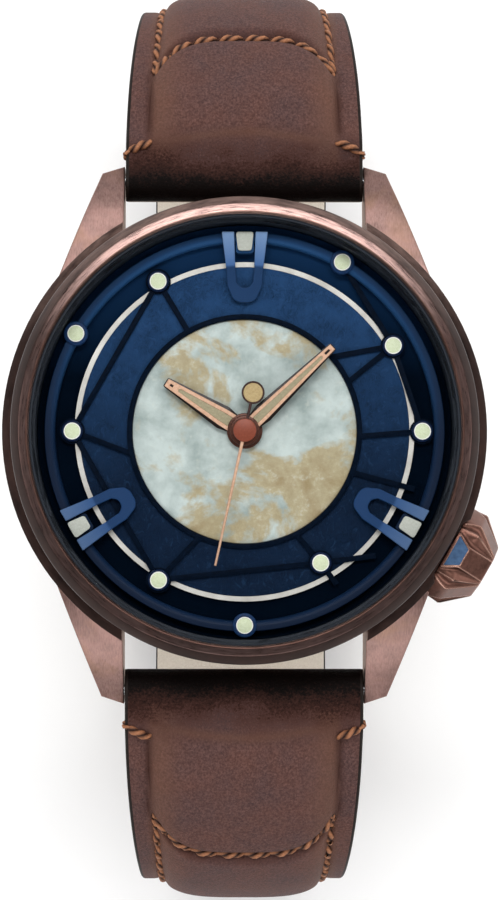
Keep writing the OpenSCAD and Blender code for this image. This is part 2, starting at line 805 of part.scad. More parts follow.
module main_plate() {
    holes = [polar(third_d, third_dir), polar(escape_dist, escape_dir), pallet_pos, balance_pos];
    color("gainsboro") difference() {
        union() {
            post(movement_r, plate_z, plate_top);
            post(0.18, plate_top - 0.1, dial_z - 0.08, polar(minute_dist, minute_dir));
        }
        post(centre_arbor_r + run, plate_z - 1, plate_top + 1);
        for (p = holes) post(jewel_r + fit, plate_z - 1, plate_top + 1, p);
        post(barrel_arbor_r * 0.6 + run, plate_z - 1, plate_z + 0.5, polar(barrel_dist, barrel_dir));
    }
}

module barrel() {
    c = polar(barrel_dist, barrel_dir);
    rim_z = plate_z - 0.3;
    color("darkgray") translate([c[0], c[1], 0]) difference() {
        union() {
            post(barrel_r, barrel_z, rim_z);
            translate([0, 0, rim_z]) linear_extrude(0.2) teeth(barrel_teeth, barrel_m, barrel_dir + 180);
        }
        post(barrel_r - barrel_wall, barrel_z + 0.2, rim_z - 0.1);
        post(barrel_arbor_r + run, barrel_z - 1, plate_z + 1);
    }
}

module barrel_arbor() {
    color("lightsteelblue") translate(polar(barrel_dist, barrel_dir)) {
        post(barrel_arbor_r, bridge_z - 0.27, plate_z - 0.04);
        post(barrel_arbor_r * 0.6, plate_z - 0.05, plate_z + 0.4);
    }
}

// A flat spiral band from r0 to r1
module spiral(r0, r1, turns, t, h, steps = 16) {
    n = turns * steps;
    linear_extrude(h) polygon(concat(
        [for (i = [0:n]) polar(r0 + (r1 - r0) * i / n, 360 * i / steps)],
        [for (i = [n:-1:0]) polar(r0 + (r1 - r0) * i / n + t, 360 * i / steps)]));
}

module mainspring() {
    c = polar(barrel_dist, barrel_dir);
    color("steelblue") translate([c[0], c[1], barrel_z + 0.25])
        spiral(barrel_arbor_r + 0.1, barrel_r - barrel_wall - 0.22, 7, 0.12, barrel_h - 0.75);
}

module ratchet_wheel() {
    c = polar(barrel_dist, barrel_dir);
    color("goldenrod") translate([c[0], c[1], bridge_z - 0.25]) difference() {
        linear_extrude(0.22) teeth(44, 0.16);
        translate([0, 0, -1]) cylinder(r = barrel_arbor_r + fit, h = 3);
    }
}

module centre_wheel() {
    color("gold") difference() {
        union() {
            translate([0, 0, centre_z]) spoked(centre_teeth, train_m, wheel_t, third_dir, 0.7);
            post(centre_arbor_r, centre_z - 0.05, plate_top + 0.6);
            post(0.62, centre_z + wheel_t, plate_z - 0.35);
            translate([0, 0, plate_z - 0.36]) linear_extrude(0.3)
                teeth(centre_leaves, barrel_m, gap_at(centre_leaves, barrel_dir));
        }
        post(arbor_r + run, centre_z - 1, plate_top + 3);
    }
}

module third_wheel() {
    color("gold") translate(polar(third_d, third_dir)) {
        translate([0, 0, third_z]) spoked(third_teeth, third_m, wheel_t, third_dir + 180, 0.5);
        translate([0, 0, centre_z - 0.06]) linear_extrude(wheel_t + 0.12)
            teeth(third_leaves, train_m, gap_at(third_leaves, third_dir + 180));
        arbor(arbor_r);
    }
}

module fourth_wheel() {
    color("gold") {
        translate([0, 0, fourth_z]) spoked(fourth_teeth, fourth_m, wheel_t, escape_dir, 0.5);
        translate([0, 0, third_z - 0.06]) linear_extrude(wheel_t + 0.12)
            teeth(fourth_leaves, third_m, gap_at(fourth_leaves, third_dir));
        post(arbor_r, train_z + 0.04, second_z + second_t - 0.04);
        post(pivot_r, train_z - 0.35, train_z + 0.1);
    }
}

module escape_wheel() {
    n = 15;
    color("silver") translate(polar(escape_dist, escape_dir)) {
        translate([0, 0, escape_z]) difference() {
            linear_extrude(wheel_t) polygon([for (i = [0:n - 1], k = [0:2])
                k == 0 ? polar(escape_r - 0.45, 360 * i / n) :
                k == 1 ? polar(escape_r, 360 * (i + 0.62) / n) :
                polar(escape_r, 360 * (i + 0.8) / n)]);
            difference() {
                ring(0.5, escape_r - 0.7, -1, 1);
                for (a = [0, 90]) rotate([0, 0, a]) translate([-3, -0.12, -2]) cube([6, 0.24, 4]);
            }
        }
        translate([0, 0, fourth_z - 0.06]) linear_extrude(wheel_t + 0.12)
            teeth(escape_leaves, fourth_m, gap_at(escape_leaves, escape_dir + 180));
        arbor(arbor_r);
    }
}

module pallet_fork() {
    toward = atan2(balance_pos[1] - pallet_pos[1], balance_pos[0] - pallet_pos[0]);
    span = norm(balance_pos - pallet_pos) - 0.75;
    reach = 1.7;
    color("silver") translate(pallet_pos) {
        translate([0, 0, escape_z]) {
            for (side = [-1, 1]) {
                bar([0, 0], [side * reach, 0.75], 0.3, 0, wheel_t);
                translate([side * reach, 0.68, 0]) rotate([0, 0, side * 18])
                    translate([-0.12, 0, 0]) cube([0.24, 0.5, wheel_t]);
            }
            bar([0, 0], polar(span, toward), 0.3, 0, wheel_t);
        }
        arbor(arbor_r);
    }
}

module balance_wheel() {
    color("gold") translate(balance_pos) {
        ring(balance_r - 0.45, balance_r, balance_z, balance_z + 0.4);
        for (a = [0, 60, 120]) rotate([0, 0, a])
            translate([-balance_r + 0.3, -0.16, balance_z + 0.1]) cube([2 * balance_r - 0.6, 0.32, 0.15]);
        post(0.55, balance_z + 0.1, balance_z + 0.25);
        // The roller, with its pin towards the fork
        post(0.6, escape_z - 0.12, escape_z - 0.03);
        arbor(arbor_r);
    }
}

module hairspring() {
    color("steelblue") translate([balance_pos[0], balance_pos[1], train_z + 0.25])
        spiral(arbor_r + 0.02, 2.3, 8, 0.05, 0.15, 14);
}

// The part of the movement's disc on the barrel's side of the split
module barrel_side(grow) {
    rotate([0, 0, barrel_dir]) translate([bridge_split + grow, -20, -20]) cube([40, 40, 60]);
}

module feet(places) {
    for (p = places) post(foot_r, bridge_z, plate_z, p);
}

module foot_holes(places) {
    for (p = places) post(screw_r + fit, bridge_z - 1, bridge_z + 2.05, p);
}

module barrel_bridge() {
    color("whitesmoke") difference() {
        union() {
            intersection() {
                post(movement_r - 0.1, bridge_z, train_z);
                barrel_side(bridge_gap / 2);
            }
            feet(barrel_feet);
        }
        post(barrel_arbor_r + run, bridge_z - 1, train_z + 1, polar(barrel_dist, barrel_dir));
        foot_holes(barrel_feet);
    }
}

module train_bridge() {
    holes = [[0, 0], polar(third_d, third_dir), polar(escape_dist, escape_dir), pallet_pos];
    color("whitesmoke") difference() {
        union() {
            difference() {
                post(movement_r - 0.1, bridge_z, train_z);
                barrel_side(-bridge_gap / 2);
                post(balance_r + 0.4, bridge_z - 1, train_z + 1, balance_pos);
                bar(balance_pos, balance_pos + 1.5 * (cock_foot - balance_pos), 2.8,
                    bridge_z - 1, train_z + 1);
            }
            feet(train_feet);
            // The tongue that carries the pallet fork's upper pivot
            post(0.8, bridge_z, train_z, pallet_pos);
            bar(pallet_pos, polar(escape_dist, escape_dir), 1.6, bridge_z, train_z);
        }
        for (p = holes) post(jewel_r + fit, bridge_z + 0.2, train_z + 1, p);
        foot_holes(train_feet);
    }
}

module balance_cock() {
    color("whitesmoke") difference() {
        union() {
            post(1.2, bridge_z, train_z, balance_pos);
            bar(balance_pos, cock_foot, 2.2, bridge_z, train_z);
            feet([cock_foot]);
        }
        post(jewel_r + fit, bridge_z - 1, train_z + 1, balance_pos);
        foot_holes([cock_foot]);
    }
}

module jewel_stone(p, z0, z1) {
    translate(p) ring(pivot_r + run, jewel_r, z0, z1);
}

module jewels() {
    all = [polar(third_d, third_dir), polar(escape_dist, escape_dir), pallet_pos, balance_pos];
    color("crimson") {
        for (p = concat(all, [[0, 0]])) jewel_stone(p, bridge_z + 0.25, train_z);
        for (p = all) jewel_stone(p, plate_z, plate_z + 0.45);
    }
}

module bridge_screws() {
    head_r = 0.8;
    head_t = 0.22;
    color("mediumblue") for (p = concat(barrel_feet, train_feet, [cock_foot]))
        translate(p) difference() {
            union() {
                post(head_r, bridge_z - head_t, bridge_z);
                post(screw_r, bridge_z - 0.1, bridge_z + 2);
            }
            translate([-1, -0.1, bridge_z - head_t - 1]) cube([2, 0.2, 1.1]);
        }
}

module cannon_pinion() {
    color("lightsteelblue") difference() {
        union() {
            translate([0, 0, plate_top + 0.05]) linear_extrude(0.2) teeth(cannon_leaves, cannon_m, minute_dir);
            post(cannon_r - 0.14, plate_top + 0.25, minute_z);
            post(cannon_r, hour_z + hand_t + 0.1, minute_z + hand_t);
        }
        post(centre_arbor_r + fit, plate_top - 1, plate_top + 0.65);
        post(0.42, plate_top, minute_z + 2);
    }
}

module minute_wheel() {
    color("gold") translate(polar(minute_dist, minute_dir)) difference() {
        union() {
            translate([0, 0, plate_top + 0.08]) linear_extrude(0.14)
                teeth(minute_teeth, cannon_m, gap_at(minute_teeth, minute_dir + 180));
            translate([0, 0, plate_top + 0.22]) linear_extrude(0.22) teeth(minute_leaves, hour_m, minute_dir + 180);
        }
        post(0.18 + run, plate_top - 1, plate_top + 2);
    }
}

module hour_wheel() {
    color("gold") difference() {
        union() {
            translate([0, 0, plate_top + 0.28]) linear_extrude(0.14)
                teeth(hour_teeth, hour_m, gap_at(hour_teeth, minute_dir));
            post(hour_pipe_r, plate_top + 0.28, hour_z + hand_t);
        }
        post(cannon_r - 0.14 + run, plate_top, hour_z + 3);
    }
}

module rotor() {
    color("lightgray") difference() {
        union() {
            intersection() {
                union() {
                    ring(rotor_r - 3, rotor_r, rotor_z, rotor_z + rotor_rim_t);
                    difference() {
                        post(rotor_r - 2.9, rotor_web_z, rotor_web_z + rotor_web_t);
                        for (a = [215, 270, 325]) rotate([0, 0, a])
                            translate([6.6, 0, -5]) cylinder(r = 1.9, h = 20);
                    }
                }
                translate([-20, -40 + 0.5, -5]) cube([40, 40, 20]);
            }
            post(2.6, rotor_web_z, rotor_web_z + rotor_web_t);
        }
        post(bearing_r + run, rotor_z - 2, rotor_z + 3);
    }
}

module rotor_bearing() {
    color("goldenrod") {
        post(bearing_r, rotor_web_z - 0.05, bridge_z);
        post(bearing_head_r, rotor_web_z - 0.35, rotor_web_z - 0.05);
        ring(bearing_r, bearing_head_r, rotor_web_z + rotor_web_t + 0.05, bridge_z);
    }
}

// Strap

// Heading, in degrees, at distance s along a half whose bottom bend has radius rb
function heading(s, rb, s_flat, s_wrap) =
    s < lead ? strap_slope :
    s < s_top ? strap_slope + (s - lead) / top_r * 180 / PI :
    s < s_flat ? 90 + (s - s_top) / rb * 180 / PI :
    s < s_wrap ? 180 : 180 + (s - s_wrap) / rb * 180 / PI;

// Point of the middle line at distance s
function route(s, rb, s_flat, s_wrap) =
    let (a = heading(s, rb, s_flat, s_wrap), c = strap_slope)
    s < lead ? [bar_y + s * cos(c), bar_z - s * sin(c)] :
    s < s_top ? [apex_y - top_r * (1 - sin(a)), apex_z + top_r * cos(a)] :
    s < s_flat ? [apex_y - rb * (1 - sin(a)), apex_z + rb * cos(a)] :
    s < s_wrap ? [apex_y - rb - (s - s_flat), apex_z - rb] :
    [-flat_y + rb * sin(a), apex_z + rb * cos(a)];

// The half's side outline between two distances; outer and inner list its half thicknesses
function side(s0, s1, rb, s_flat, s_wrap, outer, inner, n = 44) = concat(
    [for (i = [0:n]) let (s = s0 + (s1 - s0) * i / n, a = heading(s, rb, s_flat, s_wrap))
        route(s, rb, s_flat, s_wrap) + lookup(s, outer) * [sin(a), cos(a)]],
    [for (i = [n:-1:0]) let (s = s0 + (s1 - s0) * i / n, a = heading(s, rb, s_flat, s_wrap))
        route(s, rb, s_flat, s_wrap) - lookup(s, inner) * [sin(a), cos(a)]]);

// The strap's width, which narrows from the lugs down to the buckle
module width_limit() {
    low = apex_z - bend_r + 4;
    translate([0, 60, 0]) rotate([90, 0, 0]) linear_extrude(120) polygon([
        [strap_w / 2, 20], [strap_w / 2, bar_z - 1], [strap_end_w / 2, low], [strap_end_w / 2, -70],
        [-strap_end_w / 2, -70], [-strap_end_w / 2, low], [-strap_w / 2, bar_z - 1], [-strap_w / 2, 20]]);
}

// The end of a half, rolled round its spring bar, and the hole for the bar
module bar_loop(r, w) {
    translate([-w / 2, bar_y, bar_z]) rotate([0, 90, 0]) cylinder(r = r, h = w);
}

module strap_upper() {
    edge = [[0, end_r], [5, edge_out + 0.3], [12, edge_out], [200, edge_out]];
    pad = [[0, 0], [1.5, end_r], [7, edge_out + pad_rise], [s_pad, edge_out + pad_rise],
        [s_pad + pad_run, edge_out]];
    body = side(0, short_len, bend_r, s_short, 500, edge, edge);
    padding = side(1.5, s_pad + pad_run, bend_r, s_short, 500, pad, [[0, 0.5], [200, 0.5]]);
    slot_end = hinge_y + 4;
    color("sienna") difference() {
        union() {
            intersection() {
                union() {
                    across(body, 30);
                    bar_loop(end_r, 30);
                    translate([-15, hinge_y, hinge_z]) rotate([0, 90, 0])
                        cylinder(r = hinge_end_r, h = 30);
                }
                width_limit();
            }
            across(padding, pad_w);
        }
        bar_loop(bar_r + run, 30);
        translate([-15, hinge_y, hinge_z]) rotate([0, 90, 0]) cylinder(r = hinge_r + run, h = 30);
        translate([-prong_w / 2 - 0.4, hinge_y - 4, hinge_z - 4]) cube([prong_w + 0.8, slot_end - hinge_y + 4, 8]);
    }
}

module strap_lower() {
    edge = [[0, end_r], [5, edge_out + 0.3], [12, edge_out], [s_pad, edge_out],
        [s_pad + pad_run, tail_t / 2], [200, tail_t / 2]];
    pad = [[0, 0], [1.5, end_r], [7, edge_out + pad_rise], [s_pad, edge_out + pad_rise],
        [s_pad + pad_run, tail_t / 2]];
    body = side(0, long_len, long_bend_r, s_long, s_tail, edge, edge, 60);
    padding = side(1.5, s_pad + pad_run, long_bend_r, s_long, s_tail, pad, [[0, 0.5], [200, 0.5]]);
    tip = route(long_len, long_bend_r, s_long, s_tail);
    tip_r = strap_end_w / 2 + 0.2;
    slot_len = 3.5;
    color("sienna") mirror([0, 1, 0]) difference() {
        union() {
            intersection() {
                union() {
                    across(body, 30);
                    bar_loop(end_r, 30);
                }
                width_limit();
            }
            across(padding, pad_w);
        }
        bar_loop(bar_r + run, 30);
        // The tail's round tip
        difference() {
            translate([-20, tip[0] - 10, tip[1] - 12]) cube([40, tip_r + 10, 20]);
            translate([0, tip[0] + tip_r, tip[1] - 20]) cylinder(r = tip_r, h = 40);
        }
        // The slot that the tongue is in, and the other holes
        translate([0, -prong_hole_y, long_z - 3]) linear_extrude(6)
            polygon(soft_box(prong_w + 0.5, slot_len, 0.6));
        for (k = [-2, -1, 1, 2, 3, 4]) let (s = s_hole + k * hole_pitch,
            p = route(s, long_bend_r, s_long, s_tail), a = heading(s, long_bend_r, s_long, s_tail))
            translate([0, p[0], p[1]]) rotate([-a, 0, 0]) translate([0, 0, -3]) cylinder(r = 1, h = 6);
    }
}

module spring_bar() {
    half = lug_gap / 2 + lug_hole_depth - 0.05;
    color("silver") rotate([0, 90, 0]) {
        translate([0, 0, -half]) cylinder(r = bar_r - 0.25, h = 2 * half);
        translate([0, 0, -strap_w / 2 + 0.6]) cylinder(r = bar_r, h = strap_w - 1.2);
    }
}

module spring_bar_upper() {
    translate([0, bar_y, bar_z]) spring_bar();
}

module spring_bar_lower() {
    translate([0, -bar_y, bar_z]) spring_bar();
}

// A leather loop round both halves of the strap, its middle at y
module keeper(y) {
    wall = 1.2;
    in_w = strap_end_w + 0.5;
    top = inner_face + slack;
    h = top + wall - stand_z;
    color("saddlebrown") translate([0, y + keeper_w / 2, stand_z + h / 2]) rotate([90, 0, 0])
        linear_extrude(keeper_w) difference() {
            polygon(soft_box(in_w + 2 * wall, h, 1.2));
            translate([0, (frame_t - wall) / 2]) polygon(soft_box(in_w, h - wall - frame_t, 0.3));
        }
}

module keeper_fixed() {
    keeper(keeper_y);
}

module keeper_sliding() {
    keeper(slide_y);
}

module buckle_frame() {
    arm = concat(arc([hinge_y, hinge_z], 1.6, 110, -40, 8),
        [[frame_bar_y + frame_bar_w / 2, stand_z], [frame_bar_y - frame_bar_w / 2 + 0.3, stand_z],
        [frame_bar_y - frame_bar_w / 2, stand_z + 0.3], [frame_bar_y - frame_bar_w / 2, stand_top]]);
    color("sienna") difference() {
        union() {
            for (m = [0, 1]) mirror([m, 0, 0]) translate([arm_in + arm_t / 2, 0, 0]) across(arm, arm_t);
            translate([-arm_in - arm_t / 2, frame_bar_y - frame_bar_w / 2, stand_z])
                cube([2 * arm_in + arm_t, frame_bar_w, frame_t]);
        }
        translate([-20, hinge_y, hinge_z]) rotate([0, 90, 0]) cylinder(r = hinge_r + fit, h = 40);
        // The notch that the tongue's tip lies in
        translate([-prong_w / 2 - 0.2, frame_bar_y - 4, stand_z - 1]) cube([prong_w + 0.4, 8, 2.2]);
    }
}

module buckle_prong() {
    tip = frame_bar_y - frame_bar_w / 2 - 0.1;
    out = inner_face - strap_t;
    leg = prong_hole_y;
    shape = [[hinge_y, hinge_z + 1.2], [leg + 0.65, out + 0.95], [leg - 1.75, stand_z + 1.12],
        [tip, stand_z + 1.08], [tip, stand_z + 0.15], [leg - 1.05, stand_z + 0.25],
        [leg + 1.45, out + 0.3], [hinge_y, hinge_z - 1.3]];
    color("sienna") difference() {
        union() {
            across(shape, prong_w);
            translate([-prong_w / 2, hinge_y, hinge_z]) rotate([0, 90, 0]) cylinder(r = 1.5, h = prong_w);
        }
        translate([-5, hinge_y, hinge_z]) rotate([0, 90, 0]) cylinder(r = hinge_r + run, h = 10);
    }
}

module buckle_bar() {
    half = arm_in + arm_t - 0.1;
    color("silver") translate([-half, hinge_y, hinge_z]) rotate([0, 90, 0]) cylinder(r = hinge_r, h = 2 * half);
}

case_middle();
bezel();
crystal();
crystal_gasket();
case_back();
case_back_glass();
case_back_gasket();
movement_holder();
crown_tube();
crown();
crown_inlay();
crown_stem();
crown_gasket();
dial_base();
sector_plate();
dial_lattice();
track_ring();
moon_disc();
flange_ring();
hour_brackets();
bracket_lume();
plot_cups();
plot_lume();
hour_hand();
hour_hand_lume();
minute_hand();
minute_hand_lume();
seconds_hand();
main_plate();
barrel();
barrel_arbor();
mainspring();
ratchet_wheel();
centre_wheel();
third_wheel();
fourth_wheel();
escape_wheel();
pallet_fork();
balance_wheel();
hairspring();
balance_cock();
barrel_bridge();
train_bridge();
cannon_pinion();
minute_wheel();
hour_wheel();
rotor();
rotor_bearing();
bridge_screws();
jewels();
strap_upper();
strap_lower();
spring_bar_upper();
spring_bar_lower();
keeper_fixed();
keeper_sliding();
buckle_frame();
buckle_prong();
buckle_bar();
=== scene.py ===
import math
from functools import partial

import bmesh
import bpy
from mathutils import Matrix, Vector
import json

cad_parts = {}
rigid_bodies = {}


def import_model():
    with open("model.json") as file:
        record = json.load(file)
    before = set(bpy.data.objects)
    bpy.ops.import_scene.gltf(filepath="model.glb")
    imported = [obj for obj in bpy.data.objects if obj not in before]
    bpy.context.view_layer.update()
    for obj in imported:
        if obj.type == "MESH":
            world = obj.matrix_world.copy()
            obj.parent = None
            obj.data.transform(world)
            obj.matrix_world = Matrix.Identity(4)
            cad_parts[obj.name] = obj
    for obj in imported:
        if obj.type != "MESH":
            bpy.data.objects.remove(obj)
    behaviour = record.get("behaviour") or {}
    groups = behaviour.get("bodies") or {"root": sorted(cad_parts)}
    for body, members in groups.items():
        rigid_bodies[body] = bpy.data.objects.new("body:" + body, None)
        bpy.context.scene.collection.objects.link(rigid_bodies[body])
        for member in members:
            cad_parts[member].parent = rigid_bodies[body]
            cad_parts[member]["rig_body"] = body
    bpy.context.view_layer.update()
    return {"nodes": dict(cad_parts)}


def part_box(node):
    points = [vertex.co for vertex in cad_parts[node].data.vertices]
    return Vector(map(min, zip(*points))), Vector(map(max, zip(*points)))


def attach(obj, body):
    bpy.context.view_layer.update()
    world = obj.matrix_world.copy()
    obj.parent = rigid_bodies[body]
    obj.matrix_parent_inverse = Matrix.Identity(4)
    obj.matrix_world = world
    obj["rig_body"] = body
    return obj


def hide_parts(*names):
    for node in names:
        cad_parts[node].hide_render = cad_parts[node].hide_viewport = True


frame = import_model()
nodes = frame["nodes"]
scene = bpy.context.scene
mm = 0.001
print("frame loaded:", len(nodes), "nodes")

# Shared helpers


def hexToLinear(code):
    channels = [int(code[i:i + 2], 16) / 255 for i in (1, 3, 5)]
    return [c / 12.92 if c <= 0.04045 else ((c + 0.055) / 1.055) ** 2.4 for c in channels] + [1]


# Kinds of shader node: type, inputs in the order in which they are given, output, settings
nodeKinds = {
    "place": ("ShaderNodeTexCoord", (), "Object", {}),
    "attribute": ("ShaderNodeAttribute", (), "Fac", {}),
    "normal": ("ShaderNodeNewGeometry", (), "Normal", {}),
    "rounded": ("ShaderNodeBevel", ("Radius",), 0, {"samples": 6}),
    "stretch": ("ShaderNodeMapping", ("Vector", "Scale"), 0, {}),
    "noise": ("ShaderNodeTexNoise", ("Vector", "Scale", "Detail", "Roughness", "Distortion"), 0, {}),
    "cells": ("ShaderNodeTexVoronoi", ("Vector", "Scale"), 0, {"feature": "DISTANCE_TO_EDGE"}),
    "stripes": ("ShaderNodeTexWave", ("Vector", "Scale"), 1, {"wave_profile": "SAW"}),
    "split": ("ShaderNodeSeparateXYZ", (0,), None, {}),
    "join": ("ShaderNodeCombineXYZ", (0, 1, 2), 0, {}),
    "shift": ("ShaderNodeVectorMath", (0, 1), 0, {"operation": "ADD"}),
    "unit": ("ShaderNodeVectorMath", (0,), 0, {"operation": "NORMALIZE"}),
    "length": ("ShaderNodeVectorMath", (0,), 1, {"operation": "LENGTH"}),
    "dot": ("ShaderNodeVectorMath", (0, 1), 1, {"operation": "DOT_PRODUCT"}),
    "plus": ("ShaderNodeMath", (0, 1), 0, {"operation": "ADD"}),
    "times": ("ShaderNodeMath", (0, 1), 0, {"operation": "MULTIPLY"}),
    "range": ("ShaderNodeMapRange", (0, 1, 2, 3, 4), 0, {}),
    "mix": ("ShaderNodeMix", (0, 6, 7), 2, {"data_type": "RGBA"}),
    "bump": ("ShaderNodeBump", ("Height", "Strength", "Distance", "Normal"), 0, {}),
    "fresnel": ("ShaderNodeFresnel", ("IOR",), 0, {}),
    "clear": ("ShaderNodeBsdfTransparent", ("Color",), 0, {}),
    "gloss": ("ShaderNodeBsdfGlossy", ("Color", "Roughness"), 0, {}),
    "blend": ("ShaderNodeMixShader", (0, 1, 2), 0, {})}


def addNode(tree, kind, *values, **settings):
    nodeType, sockets, output, fixed = nodeKinds[kind]
    node = tree.nodes.new(nodeType)
    for key, value in {**fixed, **settings}.items():
        setattr(node, key, value)
    for socket, value in zip(sockets, values):
        if isinstance(value, bpy.types.NodeSocket):
            tree.links.new(value, node.inputs[socket])
        else:
            node.inputs[socket].default_value = hexToLinear(value) if isinstance(value, str) else value
    return node.outputs if output is None else node.outputs[output]


def startMaterial(name, **constants):
    material = bpy.data.materials.new(name)
    material.use_nodes = True
    tree = material.node_tree
    shader = tree.nodes["Principled BSDF"]
    for key, value in constants.items():
        shader.inputs[key.replace("_", " ")].default_value = value
    add = partial(addNode, tree)
    return material, add, shader, add("place")


def coverSurface(shader, tone, rough=None, bumps=None):
    for value, socket in ((tone, "Base Color"), (rough, "Roughness"), (bumps, "Normal")):
        if value:
            shader.id_data.links.new(value, shader.inputs[socket])


# Lays colours over a tone, each where its mask goes from low to high, at most by its share
def layered(add, tone, *layers):
    for mask, low, high, share, colour in layers:
        tone = add("mix", add("range", mask, low, high, 0, share), tone, colour)
    return tone


# Value at s in a table of places and values, with straight lines between them
def lookup(s, table):
    if s <= table[0][0]:
        return table[0][1]
    for (s0, v0), (s1, v1) in zip(table, table[1:]):
        if s <= s1:
            return v0 + (v1 - v0) * (s - s0) / (s1 - s0)
    return table[-1][1]


def smoothStep(value, low, high):
    t = min(1, max(0, (value - low) / (high - low)))
    return t * t * (3 - 2 * t)


def polar(radius, degrees):
    a = math.radians(degrees)
    return radius * math.cos(a), radius * math.sin(a)


def roundedPath(points, radius, steps=5):
    result = []
    for i, p in enumerate(points):
        before, after = Vector(points[i - 1]), Vector(points[(i + 1) % len(points)])
        p = Vector(p)
        reach = min(radius, (before - p).length / 2.2, (after - p).length / 2.2)
        a, b = p + (before - p).normalized() * reach, p + (after - p).normalized() * reach
        for k in range(steps + 1):
            t = k / steps
            result.append(tuple((1 - t) ** 2 * a + 2 * t * (1 - t) * p + t * t * b))
    return result


def closeMesh(bm, name):
    mesh = bpy.data.meshes.new(name)
    bm.to_mesh(mesh)
    bm.free()
    return mesh


def addObject(name, data):
    obj = bpy.data.objects.new(name, data)
    scene.collection.objects.link(obj)
    return obj


def facesSince(bm, before):
    return [f for f in bm.faces if f not in before]


def vertsOf(faces):
    return list({v for f in faces for v in f.verts})


def edgesOf(faces):
    return list({e for f in faces for e in f.edges})


def closedEdges(bm, verts):
    return [bm.edges.new((a, b)) for a, b in zip(verts, verts[1:] + verts[:1])]


def bevelEdges(bm, edges, offset, segments):
    bmesh.ops.bevel(bm, geom=edges, offset=offset * mm, offset_type="OFFSET", segments=segments,
                    profile=0.5, affect="EDGES", material=-1, clamp_overlap=True)


def bridgeRings(bm, rings):
    size = len(rings[0])
    return [[bm.faces.new((low[i], low[(i + 1) % size], high[(i + 1) % size], high[i])) for i in range(size)]
            for low, high in zip(rings, rings[1:])]


def mirrored(points):
    return [(x, -y) for x, y in reversed(points)]


def paintNode(name, material):
    nodes[name].data.materials.clear()
    nodes[name].data.materials.append(material)


def finishPiece(name, bm, body, materials, replaced=(), smooth=32):
    mesh = closeMesh(bm, name)
    obj = addObject(name, mesh)
    for material in materials:
        mesh.materials.append(material)
    mesh.shade_smooth()
    mesh.set_sharp_from_angle(angle=math.radians(smooth))
    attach(obj, body)
    if replaced:
        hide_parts(*replaced)
    return obj


def spinProfile(bm, profile, steps=160, centre=(0, 0), material=0):
    verts = [bm.verts.new((r * mm, 0, z * mm)) for r, z in profile]
    edges = closedEdges(bm, verts)
    before = set(bm.faces)
    bmesh.ops.spin(bm, geom=verts + edges, cent=(0, 0, 0), axis=(0, 0, 1), dvec=(0, 0, 0),
                   angle=math.tau, steps=steps, use_merge=True)
    # In a fixed order, so that close vertices at the axis merge alike in every run
    bm.verts.index_update()
    verts = sorted(vertsOf(facesSince(bm, before)), key=lambda v: v.index)
    bmesh.ops.remove_doubles(bm, verts=verts, dist=1e-8)
    fresh = facesSince(bm, before)
    for f in fresh:
        f.material_index = material
    bmesh.ops.translate(bm, verts=vertsOf(fresh), vec=(centre[0] * mm, centre[1] * mm, 0))
    bmesh.ops.recalc_face_normals(bm, faces=fresh)


def addPlate(bm, loops, z0, z1, bevel=0, segments=2, material=0, turn=0):
    before = set(bm.faces)
    edges = []
    for loop in loops:
        verts = [bm.verts.new((x * mm, y * mm, z0 * mm)) for x, y in loop]
        edges += closedEdges(bm, verts)
    bmesh.ops.triangle_fill(bm, use_beauty=True, use_dissolve=False, edges=edges)
    lifted = bmesh.ops.extrude_face_region(bm, geom=facesSince(bm, before))
    bmesh.ops.translate(bm, verts=[v for v in lifted["geom"] if isinstance(v, bmesh.types.BMVert)],
                        vec=(0, 0, (z1 - z0) * mm))
    fresh = facesSince(bm, before)
    bmesh.ops.recalc_face_normals(bm, faces=fresh)
    if bevel:
        sharp = [e for e in edgesOf(fresh) if len(e.link_faces) == 2 and e.calc_face_angle(0) > 0.5
                 and any(abs(f.normal.z) > 0.9 for f in e.link_faces)]
        bevelEdges(bm, sharp, bevel, segments)
    fresh = facesSince(bm, before)
    for f in fresh:
        f.material_index = material
    if turn:
        bmesh.ops.rotate(bm, verts=vertsOf(fresh), cent=(0, 0, 0),
                         matrix=Matrix.Rotation(math.radians(turn), 3, "Z"))
    return fresh


def dressNode(name, materials, bevel, segments=2, pick=None, sharp=25, smooth=30):
    bm = bmesh.new()
    bm.from_mesh(nodes[name].data)
    bmesh.ops.remove_doubles(bm, verts=bm.verts, dist=2e-6)
    bmesh.ops.dissolve_limit(bm, angle_limit=math.radians(0.6), verts=bm.verts, edges=bm.edges)
    edges = [e for e in bm.edges if len(e.link_faces) == 2
             and math.degrees(e.calc_face_angle(0)) > sharp and e.calc_length() > 1e-5]
    bevelEdges(bm, edges, bevel, segments)
    for f in bm.faces:
        f.material_index = pick(f) if pick else 0
    finishPiece(name + "Dressed", bm, nodes[name]["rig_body"], materials, (name,), smooth)


# Camera, found from the circle of the bezel, the lugs and the strap's horizon

view = {"place": (-0.0024144, -0.0135824, 0.2782168), "lens": 118.66,
        "turn": ((0.9999437, -0.0006809, -0.0105918), (0.0002132, 0.9990274, -0.0440925),
                 (0.0106115, 0.0440877, 0.9989713))}
cameraData = bpy.data.cameras.new("camera")
cameraData.lens = view["lens"]
cameraData.sensor_width = 36
cameraData.clip_start = 0.01
cameraData.dof.use_dof = False
camera = addObject("camera", cameraData)
camera.matrix_world = Matrix.Translation(view["place"]) @ Matrix(view["turn"]).to_4x4()
scene.camera = camera
print("camera placed")

# Metals of the case


